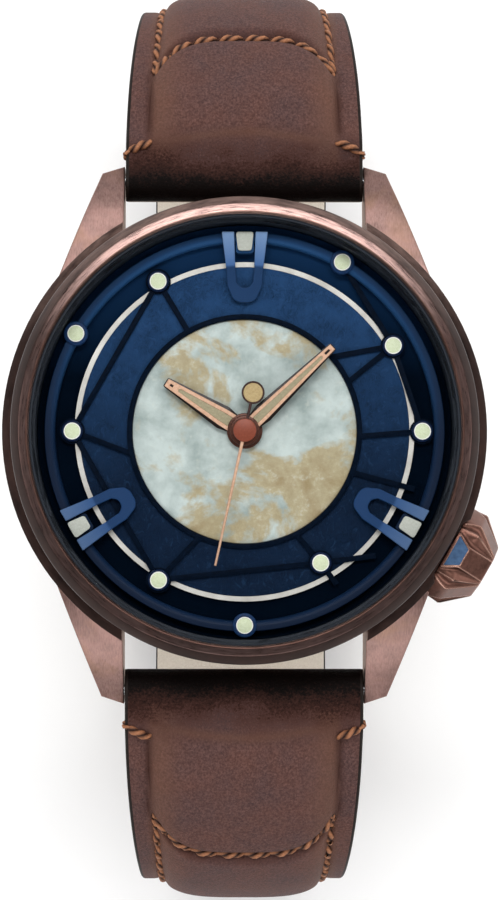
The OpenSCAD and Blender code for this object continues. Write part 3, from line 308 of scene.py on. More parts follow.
def brushedMetal(name, look):
    material, add, shader, place = startMaterial(name, Metallic=1.0)
    if "ring" in look:
        flat = add("stretch", place, (1, 1, 0))
        around = add("split", add("unit", flat))
        depth = add("plus", add("length", flat), add("split", place)[2])
        lines = add("join", *[add("times", around[i], look["along"]) for i in (0, 1)],
                        add("times", depth, look["ring"] / mm))
    else:
        lines = add("stretch", place, [k / mm for k in look["lines"]])
    streak = add("noise", lines, 1, 4, 0.65)
    cloud = add("noise", place, 0.35 / mm, 5, 0.7)
    stain = add("noise", place, 0.16 / mm, 4, 0.6, 0.5)
    soft = add("rounded", look["worn"] * mm)
    bend = add("dot", soft, add("normal"))
    tone = layered(add, look["dark"], (cloud, 0.38, 0.66, 1, look["base"]),
                   (streak, 0.3, 0.75, look["streak"], look["light"]),
                   (stain, 0.52, 0.68, look["stain"], look["stainTone"]),
                   (bend, 0.985, 0.9, look["edge"], look["edgeTone"]))
    # Painted highlight: lighter towards twelve, where the light falls on the bezel
    if "paintedHighlightTowardsTwelve" in look:
        paintedHighlightTowardsTwelve = layered(add, look["light"], (streak, 0.35, 0.7, 1, look["paintedHighlightTowardsTwelve"]))
        tone = layered(add, tone, (add("split", place)[1], 8 * mm, 20 * mm, 0.85, paintedHighlightTowardsTwelve))
    rough = add("range", streak, 0.25, 0.75, look["rough"] - 0.08, look["rough"] + 0.1)
    coverSurface(shader, tone, rough, add("bump", streak, look["bump"], 0.01 * mm, soft))
    return material


# Aged bronze of the case: brushed along the lugs, rubbed bright on its edges, stained here and there
bronze = brushedMetal("agedBronzeBrushed", {
    "lines": (9, 0.35, 5), "dark": "#624c48", "base": "#856660", "light": "#a98b83", "edgeTone": "#bd978b",
    "rough": 0.38, "streak": 0.6, "bump": 0.5, "worn": 0.2, "edge": 0.8, "stain": 0.45, "stainTone": "#8a6a50"})
# Bronze of the bezel, brushed round its ring and darkened by age, with a painted highlight towards twelve
bezelBronze = brushedMetal("agedBronzeRingBrushed", {
    "ring": 9, "along": 12, "dark": "#382c2a", "base": "#4b3936", "light": "#6f5b57", "edgeTone": "#90756e",
    "rough": 0.3, "streak": 0.55, "bump": 0.4, "worn": 0.12, "edge": 0.5, "stain": 0.4, "stainTone": "#5a3f38",
    "paintedHighlightTowardsTwelve": "#c5a299"})
# The bezel's outer slope and the case's rim under it, darker still: a darker copy of the bronze as painted
# shade, with a painted highlight towards twelve
bezelPaintedShade = brushedMetal("darkBronzePaintedShade", {
    "ring": 12, "along": 8, "dark": "#201614", "base": "#31221e", "light": "#493530", "edgeTone": "#6a5550",
    "rough": 0.4, "streak": 0.5, "bump": 0.4, "worn": 0.1, "edge": 0.5, "stain": 0.3, "stainTone": "#38261f",
    "paintedHighlightTowardsTwelve": "#93786f"})
# The bezel's inner edge, a thin painted glint line, with a painted highlight towards twelve
bezelGlint = brushedMetal("paintedGlintBronzeEdge", {
    "ring": 9, "along": 12, "dark": "#3a2a26", "base": "#4e3832", "light": "#6d5149", "edgeTone": "#7d6056",
    "rough": 0.36, "streak": 0.5, "bump": 0.3, "worn": 0.1, "edge": 0.4, "stain": 0.2, "stainTone": "#5a3a30",
    "paintedHighlightTowardsTwelve": "#a98b80"})
# Copper tone of the crown, satin and rubbed bright on the ridges
crownBronze = brushedMetal("copperBronzeSatin", {
    "lines": (4, 4, 2), "dark": "#4f352d", "base": "#714e44", "light": "#8f685c", "edgeTone": "#cfa493",
    "rough": 0.34, "streak": 0.4, "bump": 0.25, "worn": 0.25, "edge": 0.85, "stain": 0.3,
    "stainTone": "#5e4a40"})


def plainFinish(name, base, light, rough, perMm=3.0, metallic=1.0, bump=0.12, gleam=0.5, coat=0.0):
    material, add, shader, place = startMaterial(name, Metallic=metallic, Specular_IOR_Level=gleam,
                                                  Coat_Weight=coat)
    grain = add("noise", place, perMm / mm, 5, 0.6)
    tone = add("mix", add("range", grain, 0.3, 0.7), base, light)
    coverSurface(shader, tone, add("range", grain, 0.2, 0.8, rough - 0.05, rough + 0.07),
                 add("bump", grain, bump, 0.01 * mm))
    return material


# Dark coating of the wall round the dial
wallCoat = plainFinish("darkWallCoating", "#1f242c", "#292e36", 0.5, 4.0, metallic=0.0, gleam=0.15)
# Near-black navy paint of the bars and of the dial's base
barPaint = plainFinish("nearBlackDialPaint", "#030a16", "#071324", 0.5, 2.0, metallic=0.0, bump=0.05,
                       gleam=0.02)
# Navy paint of the spots' cups
cupPaint = plainFinish("navyCupPaint", "#081530", "#0f2344", 0.45, 5.0, metallic=0.0, gleam=0.1)
# Mid-blue paint of the cups that stand on the flange
flangeCupPaint = plainFinish("midBlueCupPaint", "#12284a", "#1a3860", 0.42, 5.0, metallic=0.0, gleam=0.1)
# Silver-white ring with a satin gleam
ringMetal = plainFinish("satinWhiteMetal", "#bdb8b0", "#dbd8d2", 0.34, 0.4, metallic=0.35)
# Rose gold of the hands, satin, warm
roseGold = plainFinish("satinRoseGold", "#c99a7c", "#dfb69b", 0.34, 4.0, metallic=0.3, bump=0.05)
# Black-brown flanks of the hands: painted dark reflection of their polished bevels
flankBlack = plainFinish("paintedDarkReflectionFlank", "#0f0706", "#1c0e0b", 0.3, 4.0, metallic=0.2, bump=0.03, gleam=0.3)
# Red-brown lacquer of the centre cap, its dark collar and the ring of the seconds hand
capLacquer = plainFinish("redBrownLacquer", "#7b3a28", "#8a4531", 0.4, 6.0, metallic=0.1, bump=0.06, gleam=0.3)
collarLacquer = plainFinish("darkBrownCollar", "#3a1c14", "#5a3020", 0.3, 5.0, metallic=0.5, bump=0.05)
ringBrown = plainFinish("brownBlackRing", "#2a100b", "#3d1a12", 0.35, 5.0, metallic=0.2, bump=0.03)
# Steel, gilt brass, heat-blued steel and rotor metal of the works
steelMetal = plainFinish("finishedSteel", "#a9abae", "#c4c6c8", 0.25, 6.0)
giltMetal = plainFinish("giltBrass", "#b98a3e", "#cfa556", 0.28, 4.0)
bluedMetal = plainFinish("heatBluedSteel", "#1d2f78", "#2c49a8", 0.2, 2.0)
rotorMetal = plainFinish("satinRotorMetal", "#989a9c", "#bcbdbd", 0.3, 6.0)
# Brass tube that the crown turns on, darkened like the case
tubeMetal = plainFinish("agedTubeBrass", "#4a3832", "#6a5048", 0.35, 4.0)
# Black rubber of the seals
sealRubber = plainFinish("blackSealRubber", "#0c0c0d", "#161617", 0.6, 6.0, metallic=0.0)


def makeNickel():
    material, add, shader, place = startMaterial("stripedNickel", Metallic=1.0)
    wave = add("stripes", place, 0.16 / mm)
    fine = add("noise", add("stretch", place, (1 / mm, 14 / mm, 6 / mm)), 1, 3)
    coverSurface(shader, add("mix", wave, "#a9a69f", "#cdcac3"),
                 add("range", fine, 0.2, 0.8, 0.22, 0.36), add("bump", wave, 0.3, 0.02 * mm))
    return material


# Nickel bridges with broad polished stripes
nickelMetal = makeNickel()
# Polished red stones of the bearings
rubyStone = plainFinish("redJewel", "#8f0f2e", "#c21c46", 0.1, 3.0, metallic=0.0, bump=0.0, coat=0.5)


def makeGlass(name, share):
    material, add, shader, place = startMaterial(name)
    tree = material.node_tree
    tree.nodes.remove(shader)
    edge = add("range", add("fresnel", 1.6), 0.065, 0.6, 0, share)
    both = add("blend", edge, add("clear", (0.985, 0.99, 0.99, 1)),
                   add("gloss", (1, 1, 1, 1), 0.02))
    tree.links.new(both, tree.nodes["Material Output"].inputs["Surface"])
    return material


# Clear sapphire that only mirrors from low angles, so that the dial reads through it
clearGlass = makeGlass("clearSapphire", 0.35)

# Case: the coating inside, painted shade in a darker bronze copy on the slope under the bezel, bronze elsewhere

finish = {"coatR": 20.3, "paintedShadeR": 22.1, "paintedShadeFrom": 4, "slope": (0.2, 0.86)}


def pickCase(f):
    spot = f.calc_center_median() / mm
    r = math.hypot(spot.x, spot.y)
    if r < finish["coatR"]:
        return 1
    low, high = finish["slope"]
    return 2 if r < finish["paintedShadeR"] and spot.z > finish["paintedShadeFrom"] and low < f.normal.z < high else 0


dressNode("case_middle", [bronze, wallCoat, bezelPaintedShade], 0.14, 3, pickCase)
dressNode("case_back", [bronze], 0.06, 2)

# Crown: six flat panels with a rim each, hollows beside the rims and soft ribs between them
crown = {"start": 21.4, "shoulder": 23.2, "end": 25.5, "baseR": 4.5, "ridgeR": 4.8, "faceR": 2.6, "flat": 4.35,
         "fall": 0.826, "panel": (21.65, 22.9), "half": (1.52, 0.82), "rim": 0.2, "pocket": 0.3, "hollow": 0.38,
         "skirtR": 2.1, "skirtDepth": 2.9, "stemR": 0.62, "angle": -30, "z": 5.7, "deepest": 0.32, "steps": 12}


def crownRing(x, sunk):
    flat = crown["flat"] - max(0, x - crown["shoulder"] + 0.2) * crown["fall"]
    limit = lookup(x, [(crown["start"], crown["baseR"]), (crown["shoulder"], crown["ridgeR"]),
                       (crown["end"], crown["faceR"])])
    half = lookup(x, list(zip(crown["panel"], crown["half"])))
    edge = min(limit * 0.5, flat * math.tan(math.pi / 6))
    rim = half + crown["rim"]
    depth, deepest = crown["hollow"] * (edge - rim), crown["deepest"]
    columns = [(0, 1), (half / 2, 1), (half, 1), (half, 0), (rim, 0)]
    for k in range(1, crown["steps"] + 1):
        f = k / crown["steps"]
        columns.append((rim + (edge - rim) * f, -depth * f / deepest * math.exp(1 - f / deepest)))
    ring = []
    for sector in range(6):
        turn = sector * math.pi / 3
        for side in (-1, 1):
            for y, level in columns[::-1] if side < 0 else columns[1:-1]:
                sink = crown["pocket"] * sunk * (sector % 2 == 0) if level == 1 else -min(level, 0)
                d = min(flat, math.sqrt(limit ** 2 - y ** 2)) - sink
                ring.append((turn, d, side * y))
    return [(x, d * math.cos(t) - y * math.sin(t), d * math.sin(t) + y * math.cos(t)) for t, d, y in ring]


def buildCrown():
    bm = bmesh.new()
    first, last = crown["panel"]
    stations = [(crown["start"], 0), (crown["start"] + 0.08, 0), (first, 0), (first, 1),
                ((first + last) / 2, 1), (last, 1), (last, 0)]
    steps = crown["steps"]
    stations += [(last + (crown["end"] - 0.1 - last) * k / steps, 0) for k in range(1, steps + 1)]
    rings = [crownRing(*station) for station in stations]

    def hoop(x, r):
        return [(x, r * a / math.hypot(a, b), r * b / math.hypot(a, b)) for _, a, b in rings[0]]
    tip = [(crown["end"], a * 0.95, b * 0.95) for _, a, b in rings[-1]]
    deep = crown["start"] + crown["skirtDepth"]
    hollow = [hoop(deep, crown["stemR"]), hoop(deep, crown["skirtR"]), hoop(crown["start"], crown["skirtR"])]
    rings = hollow + rings + [tip]
    turn = Matrix.Translation((0, 0, crown["z"] * mm)) @ Matrix.Rotation(math.radians(crown["angle"]), 4, "Z")
    loops = [[bm.verts.new(turn @ Vector([c * mm for c in (x, -b, a)])) for x, a, b in ring] for ring in rings]
    bridgeRings(bm, loops)
    bm.faces.new(loops[-1])
    bmesh.ops.remove_doubles(bm, verts=bm.verts, dist=1e-7)
    bmesh.ops.recalc_face_normals(bm, faces=bm.faces)
    finishPiece("crownFacets", bm, "crown", [crownBronze], ("crown",), 28)


buildCrown()

dressNode("buckle_frame", [bronze], 0.25, 3)
dressNode("buckle_prong", [bronze], 0.18, 3)

bezel = {"outer": 21.1, "ridge": 20.32, "open": 19.35, "foot": 10.4, "top": 13.2}


def buildBezel():
    outer, ridge, inner, foot, top = (bezel[key] for key in ("outer", "ridge", "open", "foot", "top"))
    bm = bmesh.new()
    spinProfile(bm, [
        (inner + 0.42, foot), (outer - 0.08, foot), (outer, foot + 0.08), (outer, top - 1.3),
        (outer - 0.03, top - 1.14), (outer - 0.1, top - 1.0), (ridge + 0.06, top - 0.26),
        (ridge + 0.01, top - 0.2), (ridge - 0.05, top - 0.16), (inner + 0.32, top - 0.01), (inner + 0.25, top),
        (inner + 0.18, top - 0.03), (inner + 0.03, top - 0.24), (inner, top - 0.32), (inner, foot + 0.92),
        (inner + 0.42, foot + 0.92)], 256)
    # Painted shade on the outer slope in the darker bronze copy, a painted glint at the inner edge
    for f in bm.faces:
        spot = f.calc_center_median()
        r = math.hypot(spot.x, spot.y) / mm
        hidden = spot.z < (foot + 1) * mm and r < outer - 0.3
        if hidden or r < inner + 0.1:
            f.material_index = 1
        elif r > ridge + 0.02:
            f.material_index = 2
        else:
            f.material_index = 3 if r < inner + 0.3 else 0
    finishPiece("bezelRing", bm, "case", [bezelBronze, wallCoat, bezelPaintedShade, bezelGlint], ("bezel",),
                18)


buildBezel()
paintNode("crystal", clearGlass)
paintNode("case_back_glass", clearGlass)
print("case done")

# Dial

sector = {"top": "#244772", "bottom": "#091d35", "vein": "#0a1a30", "crease": "#030a14", "ridge": "#3c6392"}


def makeSector():
    material, add, shader, place = startMaterial("creasedNavySlate", Specular_IOR_Level=0.05)
    # Painted light: the plate's colour brightens towards twelve
    paintedLightGradient = add("range", add("split", place)[1], -5 * mm, 15 * mm)
    cloud = add("noise", place, 0.5 / mm, 6, 0.65)
    crease = add("noise", add("stretch", place, (1, 0.6, 1)), 1.3 / mm, 6, 0.7, 1.9)
    line = add("times", add("range", crease, 0.47, 0.5), add("range", crease, 0.53, 0.5))
    fold = add("times", line, add("range", cloud, 0.42, 0.58))
    tone = add("mix", paintedLightGradient, sector["bottom"], sector["top"])
    tone = add("mix", add("range", cloud, 0.35, 0.7, 0, 0.35), tone, sector["vein"])
    tone = add("mix", add("times", fold, 0.6), tone, sector["crease"])
    tone = add("mix", add("range", crease, 0.44, 0.36, 0, 0.11), tone, sector["ridge"])
    coverSurface(shader, tone, add("range", cloud, 0.3, 0.7, 0.4, 0.6),
                 add("bump", add("plus", cloud, crease), 1.0, 0.08 * mm))
    return material


# Slate-like navy plate with fine cracks, with painted light making it brighter towards twelve
sectorSlate = makeSector()


def makeTrim(name, look):
    material, add, shader, place = startMaterial(name, Metallic=0.0, Specular_IOR_Level=look.get("gleam", 0.1))
    radius = add("length", add("stretch", place, (1, 1, 0)))
    # Colours by distance from the centre: painted light and shade of faces tilted towards or away from the
    # light
    outer = add("mix", add("range", radius, look["bend"] * mm, look["end"] * mm), look["middle"],
                    look["outer"])
    past = add("range", radius, (look["bend"] - 0.12) * mm, (look["bend"] + 0.12) * mm)
    tone = add("mix", past, look["inner"], outer)
    # Painted shade: darker towards six
    paintedLightGradient = add("range", add("split", place)[1], look["from"] * mm, 17 * mm, look["fade"], 0)
    tone = add("mix", paintedLightGradient, tone, look["deep"])
    grain = add("noise", place, 7 / mm, 4)
    coverSurface(shader, tone, add("range", grain, 0.3, 0.7, 0.4, 0.52),
                 add("bump", grain, look.get("bump", 0.2), 0.01 * mm))
    return material


# Matt blue metal of the brackets: painted light where they leave the flange, painted shade past the bend and
# towards six
bracketBlue = makeTrim("mattBlueBracket", {
    "outer": "#7c99c2", "middle": "#43669a", "inner": "#1d395e", "bend": 15.05, "end": 18.2, "from": -9,
    "fade": 0.62, "deep": "#163762"})
# Navy metal of the flange, with painted shade towards six and at its outer edge
flangeBlue = makeTrim("mattNavyFlange", {
    "outer": "#113052", "middle": "#1c3f69", "inner": "#254d7a", "bend": 17.55, "end": 18.1, "from": -1,
    "fade": 0.9, "deep": "#08172e"})
# Floor of the dial round the plate: navy towards twelve, painted shade near black elsewhere
baseNavy = makeTrim("mattNavyFloor", {
    "outer": "#142e4e", "middle": "#142e4e", "inner": "#142e4e", "bend": 15, "end": 18, "from": 5,
    "fade": 0.97, "deep": "#030a14", "gleam": 0.0, "bump": 0.02})

moon = {"ground": "#96a3a0", "pale": "#c4cfcc", "sea": "#a29069", "seaPale": "#b7a884", "ochre": "#8d7038",
        "glint": "#cdd0c6", "seaPerMm": 0.12}


def makeMoon():
    material, add, shader, place = startMaterial("mottledMoonPrint", Roughness=0.5, Specular_IOR_Level=0.25)
    moved = add("shift", place, (0.0335, 0.0121, 0.0052))
    wide = add("noise", moved, moon["seaPerMm"] / mm, 8, 0.6, 0.3)
    soft = add("noise", place, 0.25 / mm, 6, 0.62)
    speck = add("noise", place, 1.3 / mm, 6, 0.75)
    sea = layered(add, moon["sea"], (speck, 0.35, 0.65, 1, moon["seaPale"]),
                  (wide, 0.58, 0.66, 0.7, moon["ochre"]))
    tone = layered(add, moon["ground"], (soft, 0.36, 0.6, 1, moon["pale"]), (wide, 0.485, 0.545, 0.88, sea),
                   (speck, 0.56, 0.7, 0.5, moon["glint"]))
    coverSurface(shader, tone, None, add("bump", speck, 0.25, 0.03 * mm))
    return material


# Printed disc: cool white ground with tan patches, in a layout of its own
moonPrint = makeMoon()

dial = {"top": 8.4, "moonR": 10.2, "moonEdge": 8.75, "rise": 0.35, "holeR": 1.15, "moonSteps": 24,
        "hours": (90, 210, 330)}
paintNode("sector_plate", sectorSlate)
paintNode("track_ring", ringMetal)
paintNode("dial_base", baseNavy)
dressNode("dial_lattice", [barPaint], 0.05, 2)

domeR = (dial["moonR"] ** 2 + dial["rise"] ** 2) / (2 * dial["rise"])
profile = [(dial["moonR"], dial["top"]), (dial["holeR"], dial["top"])]
for i in range(dial["moonSteps"] + 1):
    r = dial["holeR"] + (dial["moonR"] - 0.05 - dial["holeR"]) * i / dial["moonSteps"]
    profile.append((r, dial["moonEdge"] + dial["rise"] - domeR + math.sqrt(domeR ** 2 - r ** 2)))
profile.append((dial["moonR"], dial["moonEdge"] - 0.05))
bm = bmesh.new()
spinProfile(bm, profile, 192)
finishPiece("moonDome", bm, "case", [moonPrint], ("moon_disc",))

flange = {"inner": 17.2, "outer": 18.15, "height": 1.15, "round": 0.55, "steps": 12, "shelf": 16.2,
          "shelfHalf": 0.82}
bm = bmesh.new()
flangeTop = dial["top"] + flange["height"]
profile = [(flange["inner"], dial["top"]), (flange["outer"], dial["top"]),
           (flange["outer"], flangeTop - 0.06), (flange["outer"] - 0.06, flangeTop)]
for i in range(flange["steps"] + 1):
    x, z = polar(flange["round"], 90 + 90 * i / flange["steps"])
    profile.append((flange["inner"] + flange["round"] + x, flangeTop - flange["round"] + z))
spinProfile(bm, profile, 256)
for a in dial["hours"]:
    side = [(flange["shelf"], -flange["shelfHalf"]), (flange["shelf"], flange["shelfHalf"])]
    root = [(flange["inner"] + 0.5, flange["shelfHalf"]), (flange["inner"] + 0.5, -flange["shelfHalf"])]
    addPlate(bm, [roundedPath(root + side, 0.3)], dial["top"], flangeTop, 0.06, 2, turn=a)
finishPiece("flangeSmooth", bm, "case", [flangeBlue], ("flange_ring",), 20)

bracket = {"outer": 18.1, "bend": 14.9, "tip": 11.6, "outerZ": 10.2, "bendZ": 9.75, "tipZ": 9.45, "thick": 0.4,
           "bevel": 0.09}


def bracketHeight(r):
    return lookup(r, [(bracket["tip"], bracket["tipZ"]), (bracket["bend"] + 0.1, bracket["bendZ"]),
                      (bracket["outer"], bracket["outerZ"])])


bm = bmesh.new()
o, b, t = bracket["outer"], bracket["bend"], bracket["tip"] + 0.1
arm, toe = [(o, 2.1), (b, 1.7), (t + 1.5, 1.58)], [(t + 1.5, 1.58), (t + 0.3, 1.05), (t, 0.5)]
slit, heel = [(o, -0.98), (b, -0.86), (t + 1.85, -0.74)], [(t + 1.85, -0.74), (t + 1.35, -0.36)]
plan = (arm + roundedPath(toe + mirrored(toe), 0.5)[6:-6] + mirrored(arm)
        + slit + roundedPath(heel + mirrored(heel), 0.3)[6:-6] + mirrored(slit))
for a in dial["hours"]:
    fresh = addPlate(bm, [plan], 0, bracket["thick"])
    bmesh.ops.bisect_plane(bm, geom=vertsOf(fresh) + edgesOf(fresh) + fresh,
                           plane_co=((b + 0.1) * mm, 0, 0), plane_no=(1, 0, 0))
    # Arms that are already in place lie above this height
    verts = [v for v in bm.verts if v.co.z < 5 * mm]
    for v in verts:
        top = bracketHeight(v.co.x / mm)
        v.co.z = (top if v.co.z > 0.5 * bracket["thick"] * mm else top - bracket["thick"]) * mm
    bmesh.ops.rotate(bm, verts=verts, cent=(0, 0, 0), matrix=Matrix.Rotation(math.radians(a), 3, "Z"))
bmesh.ops.dissolve_limit(bm, angle_limit=math.radians(0.5), verts=bm.verts, edges=bm.edges)
edges = [e for e in bm.edges if len(e.link_faces) == 2 and math.degrees(e.calc_face_angle(0)) > 50]
bevelEdges(bm, edges, bracket["bevel"], 2)
bmesh.ops.recalc_face_normals(bm, faces=bm.faces)
finishPiece("hourBrackets", bm, "case", [bracketBlue], ("hour_brackets",), 12)


def makeLume(name, light, dark):
    material, add, shader, place = startMaterial(name, Roughness=0.55, Specular_IOR_Level=0.3)
    grain = add("noise", place, 5 / mm, 5, 0.7)
    coverSurface(shader, layered(add, dark, (grain, 0.35, 0.65, 1, light)), None,
                 add("bump", grain, 0.3, 0.02 * mm))
    return material


# Luminous paint: pale yellow-green in the spots, ivory in the brackets, beige in the hands
spotLume = makeLume("paleGreenLume", "#dde5c6", "#cfd8b2")
blockLume = makeLume("ivoryLume", "#c2c4bc", "#b3b5aa")
handLume = makeLume("beigeLume", "#a89c80", "#8d8569")
counterLume = makeLume("paleGoldLume", "#bda67a", "#a88f62")
whiteRim = makeLume("whiteRimPaint", "#f7f7f3", "#ecece6")

lumeBlock = {"inner": 16.4, "innerHalf": 0.62, "outerHalf": 0.8, "foot": 9.55, "top": 10.0, "round": 0.28}
bm = bmesh.new()
for a in dial["hours"]:
    side = [(flange["outer"] - 0.05, lumeBlock["outerHalf"])]
    end = [(lumeBlock["inner"], -lumeBlock["innerHalf"])]
    block = roundedPath(side + mirrored(side) + end + mirrored(end), lumeBlock["round"])
    addPlate(bm, [block], lumeBlock["foot"], lumeBlock["top"], 0.07, 2, turn=a)
finishPiece("bracketLumeBlocks", bm, "case", [blockLume], ("bracket_lume",))

# Angle of each spot, its distance from the centre in flange radii, and whether it stands on the flange
plots = [(60, 1.032, True), (30, 0.907, False), (0, 0.939, False), (300, 0.802, False), (270, 1.023, True),
         (240, 0.907, False), (180, 0.91, False), (150, 1.029, True), (120, 0.916, False)]
spot = {"radius": 0.77, "cupWall": 0.2, "flangeWall": 0.33, "foot": 8.78, "top": 9.4, "raised": 0.3,
        "rim": 0.09, "deep": 0.25}
cups, lumes = bmesh.new(), bmesh.new()
for a, share, high in plots:
    centre = polar(share * flange["inner"], a)
    r, inner, foot = spot["radius"], spot["radius"] - spot["rim"], spot["foot"]
    top = spot["top"] + (spot["raised"] if high else 0)
    wall = r + (spot["flangeWall"] if high else spot["cupWall"])
    low = top - spot["deep"]
    spinProfile(cups, [(r - 0.2, foot), (wall, foot), (wall, top - 0.08), (wall - 0.03, top - 0.03),
                       (wall - 0.08, top), (r + 0.05, top), (r + 0.02, top - 0.03), (r + 0.01, low),
                       (r - 0.2, low)], 48, centre, int(high))
    spinProfile(lumes, [(0.0001, low), (inner, low), (inner, top - 0.01), (r - 0.2, top + 0.02),
                        (0.0001, top + 0.05)], 40, centre, 0)
    spinProfile(lumes, [(inner, low), (r, low), (r, top), (r - 0.02, top + 0.02), (inner, top + 0.02)],
                40, centre, 1)
finishPiece("spotCups", cups, "case", [cupPaint, flangeCupPaint], ("plot_cups",))
finishPiece("spotLume", lumes, "case", [spotLume, whiteRim], ("plot_lume",))
print("dial done")

# Hands: bevelled flanks painted dark as the dark reflection of their polished bevels, a rose-gold frame on top,
# luminous paint in the window

hourHand = {"body": "hours", "node": "hour_hand", "lumeNode": "hour_hand_lume", "z": 9.5, "turn": 148.2,
            "length": 8.45, "width": 2.2, "hub": 1.62, "bore": 1.02, "slot": 0.26, "flank": 0.3, "rail": 0.36}
minuteHand = {"body": "minutes", "node": "minute_hand", "lumeNode": "minute_hand_lume", "z": 10.1, "turn": 43.7,
              "length": 11.1, "width": 1.85, "hub": 1.38, "bore": 0.7, "slot": 0.5, "flank": 0.28, "rail": 0.32}
# Heights over a hand's underside, and where its outline and its window start and widen
handForm = {"flankTop": 0.24, "frameFoot": 0.22, "frameTop": 0.3, "hubTop": 0.32, "lumeFoot": 0.2,
            "lumeTop": 0.275, "root": 1.25, "shoulder": 2.3, "windowEnd": 1.5}


def circle(radius, steps, centre=(0, 0)):
    x, y = centre
    turns = [math.tau * i / steps for i in range(steps)]
    return [(x + radius * math.cos(a), y + radius * math.sin(a)) for a in turns]


def buildHand(look):
    n, w, z, turn = look["length"], look["width"], look["z"], look["turn"]
    form, wide, far = handForm, handForm["shoulder"], n - handForm["windowEnd"]
    bm = bmesh.new()
    flank = [(form["root"], -0.4 * w), (wide, -w / 2), (n - 0.2, -0.22 * w), (n, -0.18 * w)]
    addPlate(bm, [roundedPath(flank + mirrored(flank), 0.08, 2)], z, z + form["flankTop"], 0.1, 2, 0, turn)
    root, tip = w / 2 - look["flank"], 0.17 * w
    border = [(form["root"] - 0.05, -root), (wide, -root), (n - 0.1, -tip)]
    inner, narrow = root - look["rail"], 0.07 * w
    side = [(form["root"] + 0.05, -inner), (wide, -inner), (far, -narrow)]
    window = side + [(n - 1.35, 0)] + mirrored(side)
    slot = [(n - 0.55 - look["slot"], -0.11), (n - 0.5, -0.1)]
    loops = [border + mirrored(border), window, slot + mirrored(slot)]
    addPlate(bm, loops, z + form["frameFoot"], z + form["frameTop"], 0.03, 1, 1, turn)
    hub = [circle(look["hub"], 64), circle(look["bore"] + 0.02, 48)]
    addPlate(bm, hub, z, z + form["hubTop"], 0.1, 3, 2, turn)
    finishPiece(look["node"] + "Full", bm, look["body"], [flankBlack, roseGold, collarLacquer],
                (look["node"],))
    bm = bmesh.new()
    fill = [(x + (0.02 if x < 2 else -0.01), y * 0.97) for x, y in window]
    addPlate(bm, [fill], z + form["lumeFoot"], z + form["lumeTop"], turn=turn)
    finishPiece(look["lumeNode"] + "Full", bm, look["body"], [handLume], (look["lumeNode"],))


buildHand(hourHand)
buildHand(minuteHand)

secondsHand = {"z": 10.7, "turn": 257.7, "length": 12.5, "ringAt": -3.5, "ring": 1.04, "cap": 1.06,
               "thick": 0.2}


def buildSeconds():
    z, turn, tip, at, ring, cap = (secondsHand[key] for key in ("z", "turn", "length", "ringAt", "ring", "cap"))
    top = z + secondsHand["thick"]
    bm = bmesh.new()
    needle, tail = [(0.9, -0.15), (tip, -0.1)], [(at + 0.95, -0.13), (-0.9, -0.13)]
    addPlate(bm, [needle + mirrored(needle)], z, top, 0.06, 1, 0, turn)
    addPlate(bm, [tail + mirrored(tail)], z, top, 0.04, 1, 1, turn)
    addPlate(bm, [circle(ring, 48, (at, 0)), circle(ring - 0.17, 48, (at, 0))], z, top, 0.04, 1, 1, turn)
    addPlate(bm, [circle(ring - 0.16, 48, (at, 0))], z + 0.02, z + 0.13, 0, 1, 2, turn)
    spinProfile(bm, [(0.0001, z), (cap - 0.04, z), (cap, z + 0.04), (cap, z + 0.25), (cap - 0.04, z + 0.32),
                     (cap - 0.12, z + 0.35), (0.0001, z + 0.36)], 64, material=3)
    spinProfile(bm, [(0.2, z - 0.5), (0.38, z - 0.5), (0.38, z + 0.05), (0.2, z + 0.05)], 24, material=1)
    finishPiece("secondsHandFull", bm, "seconds", [roseGold, ringBrown, counterLume, capLacquer],
                ("seconds_hand",))


buildSeconds()
print("hands done")

# Movement and small metal parts keep their shapes and get their own finishes

# Blue lacquer panels of the crown
panelBlue = plainFinish("blueLacquerPanel", "#2c486a", "#3e6086", 0.35, 2.5, metallic=0.2)
finishes = (
    (wallCoat, "crystal_gasket"), (sealRubber, "case_back_gasket crown_gasket"), (tubeMetal, "crown_tube"),
    (panelBlue, "crown_inlay"), (rubyStone, "jewels"), (rotorMetal, "rotor"),
    (nickelMetal, "main_plate balance_cock barrel_bridge train_bridge"),
    (bluedMetal, "mainspring hairspring bridge_screws"),
    (giltMetal, "barrel centre_wheel third_wheel fourth_wheel balance_wheel minute_wheel hour_wheel "
                "rotor_bearing"),
    (steelMetal, "movement_holder crown_stem barrel_arbor ratchet_wheel escape_wheel pallet_fork cannon_pinion "
                 "spring_bar_upper spring_bar_lower buckle_bar"))
for material, names in finishes:
    for name in names.split():
        paintNode(name, material)
print("works done")

# Strap

strap = {"barY": 23.6, "barZ": 3.0, "lead": 3.0, "slope": 12.0, "apexY": 41.5, "upperBend": 21.0,
         "lowerBend": 23.7, "width": 22.0, "endWidth": 18.0, "seamAt": (13.7, 15.8), "seamDrop": (3.4, 3.8),
         "seamHalf": 8.4, "padHalf": 8.55, "grooveX": 8.75, "waist": 0.7, "waistAt": 22, "waistSpan": 11,
         "columnX": (8.3, 7.75), "upperLength": 80.0, "lowerLength": 120.0, "across": 84, "backAcross": 14,
         "roundR": 1.9, "corner": 0.3}
